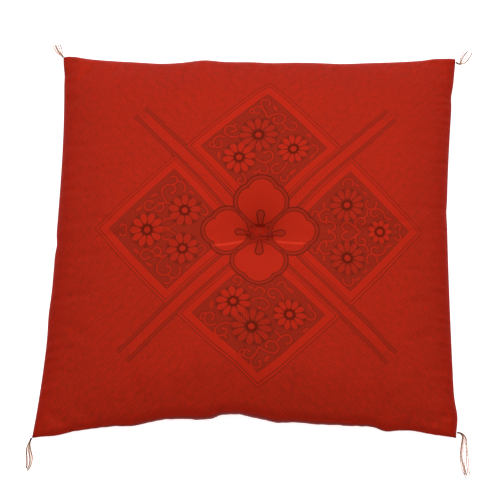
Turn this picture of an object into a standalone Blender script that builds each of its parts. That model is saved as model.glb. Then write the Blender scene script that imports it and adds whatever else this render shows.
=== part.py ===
"""Zabuton: a filled floor cushion, tufted at its centre, with a thread tassel at each corner.

Frame: metres, +Z up, the front edge towards -Y, the origin on the floor under the middle of the
whole object.
"""

import math

import bmesh
import bpy
from mathutils import Vector

# Cushion, measured between its corners
WIDTH = 0.550
LENGTH = 0.590
BACK_SHIFT = 0.021
BACK_RIGHT_SHORT = 0.003
TIP_HEIGHT = 0.008
SEAM_LIFT = 0.0225
SEAM_LIFT_POWER = 1.6
CROWN = 0.031
CROWN_POWER = 0.50
BELLY = 0.060
BELLY_POWER = 0.35
BELLY_BULGE = 0.0015
BULGE_REACH = 8
FLOOR_BLEND = 0.004
CELLS = 44
CELL_CROWDING = 0.72

# Seam line: how far each edge is drawn in and where it is drawn in most (-1 to 1 along it), and how
# full the line stays towards its left or front end ("low") and its right or back end ("high")
EDGE_COLUMNS = ("edge", "deepest", "pull", "low_power", "high_power")
EDGE_ROWS = (
    ("front", -0.10, 0.0262, 1.40, 1.20),
    ("back", 0.00, 0.0234, 3.10, 2.70),
    ("left", 0.00, 0.0130, 2.90, 2.60),
    ("right", 0.10, 0.0135, 1.45, 1.60),
)

# Puckers: where along its edge each one sits, its half width on the same scale, and how far it
# draws the seam in and up
PUCKER_COLUMNS = ("edge", "along", "half_width", "pull", "lift")
PUCKER_ROWS = (
    ("front", -0.53, 0.062, -0.0036, -0.0028),
    ("front", -0.38, 0.060, 0.0014, 0.0010),
    ("front", -0.23, 0.045, -0.0018, -0.0012),
    ("front", -0.10, 0.070, 0.0012, 0.0008),
    ("front", 0.20, 0.090, -0.0016, -0.0010),
    ("front", 0.59, 0.060, 0.0030, 0.0022),
    ("front", 0.67, 0.042, -0.0028, -0.0018),
    ("front", 0.80, 0.070, 0.0012, 0.0008),
    ("back", -0.94, 0.040, -0.0020, 0.0008),
    ("back", -0.50, 0.090, 0.0012, -0.0006),
    ("back", -0.28, 0.080, -0.0030, 0.0012),
    ("back", 0.42, 0.090, 0.0010, -0.0004),
    ("back", 0.90, 0.050, -0.0020, 0.0008),
    ("left", 0.88, 0.040, 0.0014, 0.0),
    ("left", -0.07, 0.035, 0.0016, 0.0),
    ("left", -0.42, 0.080, -0.0014, 0.0),
    ("right", 0.76, 0.050, 0.0018, 0.0),
    ("right", 0.10, 0.050, 0.0008, 0.0),
    ("right", -0.92, 0.070, -0.0048, 0.0),
)
PUCKER_REACH = 6
PUCKER_FADE = 8

# Tuft at the middle
TUFT_CENTRE = (0.010, -0.010)
TUFT_SINK = 0.008
TUFT_SINK_RADIUS = 0.050
TUFT_PINCH = 0.006
TUFT_PINCH_RADIUS = 0.016
UNDER_TUFT_SINK = 0.009
UNDER_TUFT_RADIUS = 0.045

# Tuft stitches: thread paths as offsets from the tuft's centre, in the plan
THREAD_RADIUS = 0.0007
THREAD_SIDES = 6
THREAD_CLEARANCE = 0.0008
TOP_STITCH = ((-0.0012, 0.0060), (0.0003, 0.0020), (-0.0003, -0.0030), (0.0030, -0.0062),
              (0.0080, -0.0054), (0.0130, -0.0034), (0.0178, -0.0015))
UNDER_STITCH = ((-0.0060, 0.0012), (0.0, 0.0), (0.0060, -0.0012))
STITCH_STEPS = 4
INVERSE_STEPS = 12

# Corner tassels
STRANDS = 5
STRAND_THICKNESS = 0.0011
STRAND_PITCH = 0.0015
STRAND_STEPS = 14
ROOT_INSET = 0.0001
PATH_STEPS = 64
KNOT_LENGTH = 0.008
KNOT_ROUNDNESS = 0.6
KNOT_COLUMNS = ("share", "half_width", "half_height")
KNOT_ROWS = (
    (0.00, 0.0008, 0.0008),
    (0.22, 0.0018, 0.0017),
    (0.45, 0.0020, 0.0018),
    (0.65, 0.0016, 0.0012),
    (0.85, 0.0030, 0.0009),
)
# Root is the offset in the plan from the corner. Headings are in degrees: a tassel turns as it leaves
# the corner, and drifts more and more towards its end.
TASSEL_COLUMNS = ("name", "side", "end", "root", "heading", "turn", "turn_length", "drift",
                  "length", "drop", "bow", "flare")
TASSEL_ROWS = (
    ("tassel_front_left", -1, -1, (-0.0004, -0.0005),
     -126, 48, 0.011, -38, 0.047, 0.018, 0.0020, 0.0000),
    ("tassel_front_right", 1, -1, (0.0012, 0.0062),
     -8, -80, 0.016, 6, 0.064, 0.022, 0.0022, 0.0004),
    ("tassel_back_left", -1, 1, (-0.0004, 0.0005),
     126, -8, 0.016, 6, 0.031, 0.016, 0.0010, 0.0056),
    ("tassel_back_right", 1, 1, (0.0010, -0.0030),
     -38, 96, 0.014, 4, 0.031, 0.016, 0.0012, 0.0036),
)
STRAND_SHORTENING = (0.05, 0.00, 0.09, 0.02, 0.12)

# Finishes: linear colour and roughness
CLOTH_RED = ((0.440, 0.021, 0.009), 0.75)
THREAD_RED = ((0.480, 0.030, 0.018), 0.65)
TASSEL_CREAM = ((0.800, 0.640, 0.540), 0.60)
SHARP_ANGLE = 50


def rows_of(columns, rows):
    """Name the columns of a table."""
    return [dict(zip(columns, row)) for row in rows]


EDGES = {row["edge"]: row for row in rows_of(EDGE_COLUMNS, EDGE_ROWS)}
PUCKERS = rows_of(PUCKER_COLUMNS, PUCKER_ROWS)
KNOT = rows_of(KNOT_COLUMNS, KNOT_ROWS)
TASSELS = rows_of(TASSEL_COLUMNS, TASSEL_ROWS)


def smooth(value):
    """Ease from 0 to 1, flat at both ends."""
    value = min(1.0, max(0.0, value))
    return value * value * (3 - 2 * value)


def station(step):
    """Place a grid line between -1 and 1, crowded at the seams and at the tuft."""
    even = 2 * step / CELLS - 1
    return even - CELL_CROWDING * math.sin(2 * math.pi * even) / (2 * math.pi)


def edge_pull(edge, along):
    """How far the seam is drawn in at a place along its edge, without the puckers."""
    row = EDGES[edge]
    past = along - row["deepest"]
    if past < 0:
        return row["pull"] * (1 - (-past / (1 + row["deepest"])) ** row["low_power"])
    return row["pull"] * (1 - (past / (1 - row["deepest"])) ** row["high_power"])


def pucker_sum(edge, along, column):
    """Add up one column of an edge's puckers at a place along it."""
    total = 0.0
    for row in PUCKERS:
        if row["edge"] == edge:
            total += row[column] * math.exp(-((along - row["along"]) / row["half_width"]) ** 2)
    return total * (1 - abs(along) ** PUCKER_FADE)


def plan_point(across, along):
    """Place a point of the cushion's plan; both arguments run from -1 to 1."""
    x = across * WIDTH / 2 + along * BACK_SHIFT / 2
    y = along * LENGTH / 2 - BACK_RIGHT_SHORT * (1 + across) / 2 * (1 + along) / 2
    sides = (("left", (1 - across) / 2, 1), ("right", (1 + across) / 2, -1))
    ends = (("front", (1 - along) / 2, 1), ("back", (1 + along) / 2, -1))
    for edge, near, inward in sides:
        pull = edge_pull(edge, along) * near
        pull += pucker_sum(edge, along, "pull") * near ** PUCKER_REACH
        x += inward * pull
    for edge, near, inward in ends:
        pull = edge_pull(edge, across) * near
        pull += pucker_sum(edge, across, "pull") * near ** PUCKER_REACH
        y += inward * pull
    return x, y


def seam_height(across, along):
    """Height of the seam line, carried smoothly across the cushion's inside."""
    height = TIP_HEIGHT + SEAM_LIFT * (1 - abs(across * along) ** SEAM_LIFT_POWER)
    for edge, near in (("front", (1 - along) / 2), ("back", (1 + along) / 2)):
        height += pucker_sum(edge, across, "lift") * near ** PUCKER_REACH
    return height


def fullness(across, along):
    """How full the cushion is, 1 at its middle and 0 on the seam."""
    return max(0.0, (1 - across ** 2) * (1 - along ** 2))


def tuft_distance(x, y):
    """Distance in the plan from the tuft."""
    return math.hypot(x - TUFT_CENTRE[0], y - TUFT_CENTRE[1])


def top_height(across, along):
    """Height of the cushion's top."""
    reach = tuft_distance(*plan_point(across, along))
    sink = TUFT_SINK * math.exp(-(reach / TUFT_SINK_RADIUS) ** 2)
    pinch = TUFT_PINCH * math.exp(-(reach / TUFT_PINCH_RADIUS) ** 2)
    crown = CROWN * fullness(across, along) ** CROWN_POWER
    return seam_height(across, along) + crown - sink - pinch


def on_floor(height):
    """Round a height into the floor, and keep it exactly at zero once it rests."""
    if height > FLOOR_BLEND:
        return height
    if height < -FLOOR_BLEND:
        return 0.0
    return (height + FLOOR_BLEND) ** 2 / (4 * FLOOR_BLEND)


def under_tuft_sink(x, y):
    """How far the underside is drawn up round the tuft."""
    inside = 1 - (tuft_distance(x, y) / UNDER_TUFT_RADIUS) ** 2
    return UNDER_TUFT_SINK * max(0.0, inside) ** 2


def top_point(across, along):
    """A point of the cushion's top."""
    x, y = plan_point(across, along)
    return Vector((x, y, top_height(across, along)))


def under_point(across, along):
    """A point of the cushion's underside, full just below the seam and flat where it rests."""
    x, y = plan_point(across, along)
    seam = seam_height(across, along)
    height = on_floor(seam - BELLY * fullness(across, along) ** BELLY_POWER)
    dropped = 1 - height / seam
    bulge = 4 * BELLY_BULGE * dropped * (1 - dropped)
    x += bulge * math.copysign(across ** BULGE_REACH, across)
    y += bulge * math.copysign(along ** BULGE_REACH, along)
    return Vector((x, y, height + under_tuft_sink(x, y)))


def add_object(name, mesh_builder, finish):
    """Turn a bmesh into a smooth-shaded object with a material of its own."""
    mesh = bpy.data.meshes.new(name)
    bmesh.ops.recalc_face_normals(mesh_builder, faces=mesh_builder.faces)
    if mesh_builder.calc_volume(signed=True) < 0:
        bmesh.ops.reverse_faces(mesh_builder, faces=mesh_builder.faces)
    mesh_builder.to_mesh(mesh)
    mesh_builder.free()
    mesh.shade_smooth()
    mesh.set_sharp_from_angle(angle=math.radians(SHARP_ANGLE))
    colour, roughness = finish
    material = bpy.data.materials.new(name)
    material.use_nodes = True
    shader = material.node_tree.nodes["Principled BSDF"]
    shader.inputs["Base Color"].default_value = (*colour, 1)
    shader.inputs["Roughness"].default_value = roughness
    shader.inputs["Metallic"].default_value = 0.0
    mesh.materials.append(material)
    part = bpy.data.objects.new(name, mesh)
    bpy.context.scene.collection.objects.link(part)
    return part


def build_cushion():
    """Sew a top and an underside together along one seam, as one filled body."""
    build = bmesh.new()
    lines = range(CELLS + 1)
    grid = [station(step) for step in lines]
    top = [[build.verts.new(top_point(a, b)) for a in grid] for b in grid]
    under = [list(row) for row in top]
    for j in lines[1:-1]:
        for i in lines[1:-1]:
            under[j][i] = build.verts.new(under_point(grid[i], grid[j]))
    for j in range(CELLS):
        for i in range(CELLS):
            for sheet in (top, under):
                corners = (sheet[j][i], sheet[j][i + 1], sheet[j + 1][i + 1], sheet[j + 1][i])
                build.faces.new(corners if sheet is top else corners[::-1])
    return add_object("cushion", build, CLOTH_RED)


def curve_through(points, steps):
    """Points on a smooth curve through the given ones."""
    places = []
    last = len(points) - 1
    for index in range(last):
        before = points[max(0, index - 1)]
        start, end = points[index], points[index + 1]
        after = points[min(last, index + 2)]
        for step in range(steps):
            t = step / steps
            bend = (after - start) * 0.5
            lead = (end - before) * 0.5
            places.append(start * (2 * t ** 3 - 3 * t ** 2 + 1) + lead * (t ** 3 - 2 * t ** 2 + t)
                          + end * (3 * t ** 2 - 2 * t ** 3) + bend * (t ** 3 - t ** 2))
    places.append(points[last].copy())
    return places


def plan_inverse(x, y):
    """Grid place whose plan point is (x, y), by a few steps of correction."""
    across, along = 2 * x / WIDTH, 2 * y / LENGTH
    for _ in range(INVERSE_STEPS):
        here = plan_point(across, along)
        across += 2 * (x - here[0]) / WIDTH
        along += 2 * (y - here[1]) / LENGTH
    return across, along


def build_tube(name, places, radius, sides, finish):
    """A closed tube along a path that lies almost level."""
    build = bmesh.new()
    rings = []
    for index, place in enumerate(places):
        ahead = places[min(index + 1, len(places) - 1)] - places[max(index - 1, 0)]
        side = ahead.cross(Vector((0, 0, 1))).normalized()
        upward = side.cross(ahead).normalized()
        ring = []
        for corner in range(sides):
            turn = 2 * math.pi * corner / sides
            ring.append(build.verts.new(place + radius * (math.cos(turn) * side
                                                          + math.sin(turn) * upward)))
        rings.append(ring)
    for first, second in zip(rings, rings[1:]):
        for corner in range(sides):
            other = (corner + 1) % sides
            build.faces.new((first[corner], first[other], second[other], second[corner]))
    build.faces.new(rings[0])
    build.faces.new(rings[-1][::-1])
    return add_object(name, build, finish)


def build_stitch(name, offsets, on_top):
    """A tuft thread that lies on the cushion's top, or under it in the underside's hollow."""
    plan = [Vector((TUFT_CENTRE[0] + x, TUFT_CENTRE[1] + y, 0)) for x, y in offsets]
    away = THREAD_RADIUS + THREAD_CLEARANCE
    places = []
    for point in curve_through(plan, STITCH_STEPS):
        grid_place = plan_inverse(point.x, point.y)
        if on_top:
            point.z = top_height(*grid_place) + away
        else:
            point.z = under_tuft_sink(point.x, point.y) - away
        places.append(point)
    return build_tube(name, places, THREAD_RADIUS, THREAD_SIDES, THREAD_RED)


def tassel_path(row, distance):
    """Centre and sideways direction of a tassel, a distance along it from its corner."""
    place = Vector((*plan_point(row["side"], row["end"]), 0)) + Vector((*row["root"], 0))
    heading = math.radians(row["heading"])
    step = row["length"] / PATH_STEPS
    travelled = 0.0
    while travelled < distance:
        length = min(step, distance - travelled)
        middle = travelled + length / 2
        heading = math.radians(row["heading"] + row["turn"] * smooth(middle / row["turn_length"])
                               + row["drift"] * (middle / row["length"]) ** 2)
        place += Vector((math.cos(heading), math.sin(heading), 0)) * length
        travelled += length
    rest = STRAND_THICKNESS / 2
    place.z = rest + (TIP_HEIGHT - rest) * (1 - smooth(distance / row["drop"]))
    return place, Vector((math.sin(heading), -math.cos(heading), 0))


def fan_half_width(row, distance):
    """Half the width over which a tassel's strands are spread, a distance along it."""
    close = STRAND_PITCH * (STRANDS - 1) / 2
    along = max(0.0, distance - KNOT_LENGTH) / (row["length"] - KNOT_LENGTH)
    return close + row["bow"] * math.sin(math.pi * along) + row["flare"] * along


def knot_ring(build, row, share, half_width, half_height):
    """One section of a tassel's knot: a row of points above and a row below."""
    place, side = tassel_path(row, share * KNOT_LENGTH)
    above, below = [], []
    for column in range(STRANDS + 1):
        offset = 2 * column / STRANDS - 1
        height = half_height
        if share < 1:
            height *= 1 - KNOT_ROUNDNESS * offset ** 2
        spot = place + side * offset * half_width
        above.append(build.verts.new(spot + Vector((0, 0, height))))
        below.append(build.verts.new(spot - Vector((0, 0, height))))
    return above, below


def end_faces(build, above, below):
    """Close one end of a tassel's knot with a row of small faces."""
    return [build.faces.new((above[column], above[column + 1], below[column + 1], below[column]))
            for column in range(STRANDS)]


def bridge_knot(build, rings):
    """Skin a tassel's knot, and return the end faces that its strands grow from."""
    for (above, below), (next_above, next_below) in zip(rings, rings[1:]):
        for column in range(STRANDS):
            build.faces.new((above[column], above[column + 1], next_above[column + 1],
                             next_above[column]))
            build.faces.new((below[column + 1], below[column], next_below[column],
                             next_below[column + 1]))
        for column in (0, STRANDS):
            build.faces.new((above[column], below[column], next_below[column],
                             next_above[column]))
    return [end_faces(build, *ring) for ring in (rings[0], rings[-1])][-1]


def strand_corners(row, lane, distance):
    """The four corners of a strand's section, a distance along the tassel."""
    place, side = tassel_path(row, distance)
    half = STRAND_THICKNESS / 2
    middle = place + side * lane * fan_half_width(row, distance)
    upward = Vector((0, 0, half))
    return [middle - side * half + upward, middle + side * half + upward,
            middle + side * half - upward, middle - side * half - upward]


def grow_strand(build, root, row, lane, length):
    """Draw a strand out of its root face, one section at a time."""
    bmesh.ops.inset_individual(build, faces=[root], thickness=ROOT_INSET)
    face = root
    for corner, place in zip(face.verts, strand_corners(row, lane, KNOT_LENGTH)):
        corner.co = place
    for step in range(1, STRAND_STEPS + 1):
        distance = KNOT_LENGTH + (length - KNOT_LENGTH) * step / STRAND_STEPS
        face = bmesh.ops.extrude_discrete_faces(build, faces=[face])["faces"][0]
        for corner, place in zip(face.verts, strand_corners(row, lane, distance)):
            corner.co = place


def build_tassel(row):
    """A corner tassel: a small knot, with loose strands that fall to the floor and lie on it."""
    build = bmesh.new()
    rings = [knot_ring(build, row, **section) for section in KNOT]
    rings.append(knot_ring(build, row, 1.0, STRAND_PITCH * STRANDS / 2, STRAND_THICKNESS / 2))
    roots = bridge_knot(build, rings)
    for index, root in enumerate(roots):
        lane = 2 * index / (STRANDS - 1) - 1
        length = row["length"] * (1 - STRAND_SHORTENING[index])
        grow_strand(build, root, row, lane, length)
    return add_object(row["name"], build, TASSEL_CREAM)


def centre_on_floor(parts):
    """Move everything so that the origin is on the floor under the middle of the whole."""
    bpy.context.view_layer.update()
    corners = [part.matrix_world @ Vector(corner) for part in parts for corner in part.bound_box]
    middle = Vector()
    for axis in range(2):
        values = [corner[axis] for corner in corners]
        middle[axis] = (min(values) + max(values)) / 2
    middle.z = min(corner.z for corner in corners)
    for part in parts:
        part.location = -middle


def main():
    """Build every piece of the zabuton."""
    for old in list(bpy.data.objects):
        bpy.data.objects.remove(old)
    parts = [build_cushion()]
    parts.append(build_stitch("tuft_stitch_top", TOP_STITCH, on_top=True))
    parts.append(build_stitch("tuft_stitch_under", UNDER_STITCH, on_top=False))
    parts.extend(build_tassel(row) for row in TASSELS)
    centre_on_floor(parts)


main()
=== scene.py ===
"""Looks of the zabuton: a red figured floor cushion with a tufted centre and a tassel at each corner.

Lengths are in metres, with X to the right, Y to the back and Z up. The woven pattern is drawn in
millimetres from its own centre.
"""

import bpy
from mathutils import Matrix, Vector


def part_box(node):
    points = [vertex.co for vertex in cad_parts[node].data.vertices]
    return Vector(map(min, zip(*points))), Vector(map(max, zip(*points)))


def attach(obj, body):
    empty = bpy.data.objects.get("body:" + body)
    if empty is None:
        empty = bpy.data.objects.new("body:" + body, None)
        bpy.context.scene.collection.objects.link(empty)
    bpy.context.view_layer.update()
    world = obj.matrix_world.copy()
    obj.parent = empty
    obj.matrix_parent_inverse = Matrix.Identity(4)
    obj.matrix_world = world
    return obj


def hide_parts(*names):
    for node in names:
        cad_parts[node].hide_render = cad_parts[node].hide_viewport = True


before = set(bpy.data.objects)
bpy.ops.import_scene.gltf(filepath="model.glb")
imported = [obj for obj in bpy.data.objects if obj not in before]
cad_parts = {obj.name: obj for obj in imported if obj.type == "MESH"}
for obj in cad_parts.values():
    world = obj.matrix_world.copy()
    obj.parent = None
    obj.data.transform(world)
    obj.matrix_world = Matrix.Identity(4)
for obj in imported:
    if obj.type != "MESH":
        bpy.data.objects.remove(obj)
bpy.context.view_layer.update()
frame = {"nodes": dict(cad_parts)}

import logging
import math
from dataclasses import dataclass
from enum import Enum
from typing import TypeAlias

import bpy
import numpy as np
from mathutils import Vector
from mathutils.bvhtree import BVHTree

LOG = logging.getLogger("zabuton")
CLOTH_MAP = "cloth"
INSET_MAP = "inset"
THREAD_MAP = "thread"
MM = 0.001
ROOT2 = math.sqrt(2.0)
TURN = 2.0 * math.pi
TINY = 1e-9
WHITE = (1.0, 1.0, 1.0, 1.0)
Number: TypeAlias = "Wire | float"
Value: TypeAlias = "Wire | tuple | float"
Pair: TypeAlias = tuple[float, float]
Colour: TypeAlias = tuple[float, float, float, float]
Tube: TypeAlias = tuple[np.ndarray, list[tuple[int, ...]], np.ndarray]


class Side(Enum):
    """The four sewn edges of the cushion."""

    FRONT = "front"
    BACK = "back"
    LEFT = "left"
    RIGHT = "right"


class Slot(Enum):
    """Finishes that the record names."""

    COVER = "cover_cloth"
    TUFT = "tuft_thread"
    TASSEL = "tassel_thread"


def smooth(value: np.ndarray) -> np.ndarray:
    """Ease from 0 to 1, flat at both ends.

    Args:
        value: How far along, below 0 before the start and above 1 past the end.

    Returns:
        The eased share.
    """
    share = np.clip(value, 0.0, 1.0)
    return share * share * (3 - 2 * share)


# The cushion's form


@dataclass(frozen=True)
class Edge:
    """How one sewn edge is drawn in between its corners."""

    deepest: float
    pull: float
    low_power: float
    high_power: float

    def drawn_in(self, along: np.ndarray) -> np.ndarray:
        """How far the seam is drawn in.

        Args:
            along: Place along the edge, from -1 to 1.

        Returns:
            The inward pull in metres.
        """
        past = along - self.deepest
        low = np.clip(-past / (1 + self.deepest), 0, None) ** self.low_power
        high = np.clip(past / (1 - self.deepest), 0, None) ** self.high_power
        return self.pull * (1 - np.where(past < 0, low, high))


@dataclass(frozen=True)
class Pucker:
    """A small gather in a sewn edge: its place along it, half width, inward pull and lift."""

    side: Side
    along: float
    half_width: float
    pull: float
    lift: float


EDGES = {
    Side.FRONT: Edge(deepest=-0.10, pull=0.0262, low_power=1.40, high_power=1.20),
    Side.BACK: Edge(deepest=0.00, pull=0.0234, low_power=3.10, high_power=2.70),
    Side.LEFT: Edge(deepest=0.00, pull=0.0130, low_power=2.90, high_power=2.60),
    Side.RIGHT: Edge(deepest=0.10, pull=0.0135, low_power=1.45, high_power=1.60),
}
PUCKERS = (
    Pucker(Side.FRONT, -0.90, 0.060, -0.0045, 0.0),
    Pucker(Side.FRONT, -0.53, 0.062, -0.0024, -0.0028),
    Pucker(Side.FRONT, -0.38, 0.060, 0.0, 0.0010),
    Pucker(Side.FRONT, -0.23, 0.045, -0.0018, -0.0012),
    Pucker(Side.FRONT, -0.17, 0.045, -0.0038, 0.0),
    Pucker(Side.FRONT, -0.10, 0.070, 0.0012, 0.0008),
    Pucker(Side.FRONT, -0.02, 0.045, 0.0022, 0.0),
    Pucker(Side.FRONT, 0.15, 0.065, -0.0034, 0.0),
    Pucker(Side.FRONT, 0.34, 0.080, -0.0020, 0.0),
    Pucker(Side.FRONT, 0.20, 0.090, -0.0016, -0.0010),
    Pucker(Side.FRONT, 0.59, 0.060, 0.0016, 0.0022),
    Pucker(Side.FRONT, 0.67, 0.042, -0.0028, -0.0018),
    Pucker(Side.FRONT, 0.80, 0.070, 0.0026, 0.0008),
    Pucker(Side.BACK, -0.94, 0.040, -0.0020, 0.0008),
    Pucker(Side.BACK, -0.50, 0.090, 0.0012, -0.0006),
    Pucker(Side.BACK, -0.28, 0.080, -0.0030, 0.0012),
    Pucker(Side.BACK, 0.06, 0.080, 0.0016, 0.0),
    Pucker(Side.BACK, 0.42, 0.090, 0.0010, -0.0004),
    Pucker(Side.BACK, 0.90, 0.050, -0.0020, 0.0008),
    Pucker(Side.LEFT, 0.88, 0.040, 0.0014, 0.0),
    Pucker(Side.LEFT, -0.07, 0.035, 0.0016, 0.0),
    Pucker(Side.LEFT, -0.42, 0.080, -0.0014, 0.0),
    Pucker(Side.RIGHT, 0.76, 0.050, 0.0018, 0.0),
    Pucker(Side.RIGHT, 0.10, 0.050, 0.0008, 0.0),
    Pucker(Side.RIGHT, -0.92, 0.070, -0.0060, 0.0),
)


@dataclass(frozen=True)
class CushionForm:
    """The filled cushion's shape; places run from -1 to 1 across it and from front to back."""

    width: float = 0.550
    length: float = 0.590
    back_shift: float = 0.021
    back_right_short: float = 0.003
    tip_height: float = 0.008
    tip_round: Pair = (0.0006, 0.0032)
    tip_reach: int = 80
    seam_lift: float = 0.0225
    seam_lift_power: float = 1.6
    crown: float = 0.031
    crown_power: float = 0.50
    belly: float = 0.060
    belly_power: float = 0.35
    belly_bulge: float = 0.0024
    bulge_reach: int = 8
    floor_blend: float = 0.004
    pucker_reach: int = 6
    pucker_fade: int = 8
    tuft_x: float = 0.010
    tuft_y: float = -0.010
    tuft_sink: float = 0.0115
    tuft_sink_radius: float = 0.043
    tuft_pinch: float = 0.006
    tuft_pinch_radius: float = 0.016
    under_tuft_sink: float = 0.009
    under_tuft_radius: float = 0.045

    def puckers(self, side: Side, along: np.ndarray, lifted: bool) -> np.ndarray:
        """Add up an edge's puckers.

        Args:
            side: The edge.
            along: Place along it.
            lifted: Whether to add how far they lift the seam, and not how far they draw it in.

        Returns:
            The sum in metres.
        """
        total = np.zeros_like(along)
        for pucker in PUCKERS:
            if pucker.side is side:
                height = pucker.lift if lifted else pucker.pull
                total += height * np.exp(-((along - pucker.along) / pucker.half_width) ** 2)
        return total * (1 - np.abs(along) ** self.pucker_fade)

    def plan(self, across: np.ndarray, along: np.ndarray) -> tuple[np.ndarray, np.ndarray]:
        """Place points of the cushion's plan.

        Args:
            across: Places from the left seam to the right one.
            along: Places from the front seam to the back one.

        Returns:
            X and Y before the cushion is put in its frame.
        """
        right, back = (1 + across) / 2, (1 + along) / 2
        x = across * self.width / 2 + along * self.back_shift / 2
        y = along * self.length / 2 - self.back_right_short * right * back
        for side, near, inward in ((Side.LEFT, 1 - right, 1), (Side.RIGHT, right, -1)):
            pull = EDGES[side].drawn_in(along) * near
            x = x + inward * (pull + self.puckers(side, along, False) * near ** self.pucker_reach)
        for side, near, inward in ((Side.FRONT, 1 - back, 1), (Side.BACK, back, -1)):
            pull = EDGES[side].drawn_in(across) * near
            y = y + inward * (pull + self.puckers(side, across, False) * near ** self.pucker_reach)
        tip = np.clip(np.abs(across) * along, 0, None) ** self.tip_reach
        return x - np.copysign(self.tip_round[0] * tip, across), y - self.tip_round[1] * tip

    def seam_height(self, across: np.ndarray, along: np.ndarray) -> np.ndarray:
        """Height of the seam line, carried smoothly across the cushion's inside.

        Args:
            across: Places from left to right.
            along: Places from front to back.

        Returns:
            Heights in metres.
        """
        sag = np.abs(across * along) ** self.seam_lift_power
        height = self.tip_height + self.seam_lift * (1 - sag)
        for side, near in ((Side.FRONT, (1 - along) / 2), (Side.BACK, (1 + along) / 2)):
            height = height + self.puckers(side, across, True) * near ** self.pucker_reach
        return height

    def fullness(self, across: np.ndarray, along: np.ndarray) -> np.ndarray:
        """How full the cushion is, 1 at its middle and 0 on the seam.

        Args:
            across: Places from left to right.
            along: Places from front to back.

        Returns:
            Shares from 0 to 1.
        """
        return np.clip((1 - across ** 2) * (1 - along ** 2), 0, None)

    def tuft_distance(self, x: np.ndarray, y: np.ndarray) -> np.ndarray:
        """Distance in the plan from the tuft.

        Args:
            x: X of the points.
            y: Y of the points.

        Returns:
            Distances in metres.
        """
        return np.hypot(x - self.tuft_x, y - self.tuft_y)

    def top(self, across: np.ndarray, along: np.ndarray) -> np.ndarray:
        """Points of the cushion's top.

        Args:
            across: Places from left to right.
            along: Places from front to back.

        Returns:
            An array of points.
        """
        x, y = self.plan(across, along)
        reach = self.tuft_distance(x, y)
        sink = self.tuft_sink * np.exp(-(reach / self.tuft_sink_radius) ** 2)
        pinch = self.tuft_pinch * np.exp(-(reach / self.tuft_pinch_radius) ** 2)
        crown = self.crown * self.fullness(across, along) ** self.crown_power
        return np.stack([x, y, self.seam_height(across, along) + crown - sink - pinch], -1)

    def on_floor(self, height: np.ndarray) -> np.ndarray:
        """Round heights into the floor.

        Args:
            height: Heights that may be below the floor.

        Returns:
            Heights at or above it.
        """
        blend = self.floor_blend
        rounded = (np.clip(height, -blend, blend) + blend) ** 2 / (4 * blend)
        return np.where(height > blend, height, rounded)

    def under(self, across: np.ndarray, along: np.ndarray) -> np.ndarray:
        """Points of the cushion's underside.

        Args:
            across: Places from left to right.
            along: Places from front to back.

        Returns:
            An array of points.
        """
        x, y = self.plan(across, along)
        seam = self.seam_height(across, along)
        full = self.fullness(across, along) ** self.belly_power
        height = self.on_floor(seam - self.belly * full)
        dropped = 1 - height / seam
        bulge = 4 * self.belly_bulge * dropped * (1 - dropped)
        x = x + bulge * np.copysign(across ** self.bulge_reach, across)
        y = y + bulge * np.copysign(along ** self.bulge_reach, along)
        inside = np.clip(1 - (self.tuft_distance(x, y) / self.under_tuft_radius) ** 2, 0, None)
        return np.stack([x, y, height + self.under_tuft_sink * inside ** 2], -1)

    def shift(self) -> Vector:
        """Find where the form goes, so that it is where the solid cushion is.

        Returns:
            The move from its own place.
        """
        low, _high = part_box("cushion")
        corner_x = -(self.width + self.back_shift) / 2
        corner_y = -self.length / 2
        return Vector((low.x - corner_x, low.y - corner_y, 0.0))


# Numbers that flow through a material's nodes


class Wire:
    """A node's output that takes part in Python's own arithmetic."""

    def __init__(self, tree: bpy.types.NodeTree, socket: bpy.types.NodeSocket) -> None:
        """Hold a node's output.

        Args:
            tree: The material's node tree.
            socket: The output that gives the number.
        """
        self.tree = tree
        self.socket = socket

    def math(self, operation: str, *others: Number) -> "Wire":
        """Join numbers in one Math node.

        Args:
            operation: The node's operation.
            others: The numbers after this one.

        Returns:
            The node's result.
        """
        node = self.tree.nodes.new("ShaderNodeMath")
        node.operation = operation
        return fed(self.tree, node, dict(enumerate((self, *others))))

    def __add__(self, other: Number) -> "Wire":
        """Add."""
        return self.math("ADD", other)

    __radd__ = __add__

    def __sub__(self, other: Number) -> "Wire":
        """Take away."""
        return self.math("SUBTRACT", other)

    def __rsub__(self, other: float) -> "Wire":
        """Take this number away from a plain one."""
        return self.math("MULTIPLY_ADD", -1.0, other)

    def __mul__(self, other: Number) -> "Wire":
        """Multiply."""
        return self.math("MULTIPLY", other)

    __rmul__ = __mul__

    def __truediv__(self, other: Number) -> "Wire":
        """Divide."""
        return self.math("DIVIDE", other)

    def __abs__(self) -> "Wire":
        """Drop the sign."""
        return self.math("ABSOLUTE")

    def least(self, other: Number) -> "Wire":
        """The smaller of two."""
        return self.math("MINIMUM", other)

    def most(self, other: Number) -> "Wire":
        """The larger of two."""
        return self.math("MAXIMUM", other)

    def sine(self) -> "Wire":
        """The sine of an angle."""
        return self.math("SINE")

    def below(self, edge: Number, blur: float) -> "Wire":
        """A mask, 1 well below an edge and 0 well above it, with a change as wide as the blur."""
        return ((edge - self) / blur + 0.5).clamp()

    def clamp(self) -> "Wire":
        """Keep the number between 0 and 1."""
        return fed(self.tree, self.tree.nodes.new("ShaderNodeClamp"), {"Value": self})

    def toward(self, target: Number, share: "Wire") -> "Wire":
        """Move a share of the way to another number."""
        return Blend.NUMBER.mix(self, target, share)


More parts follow.
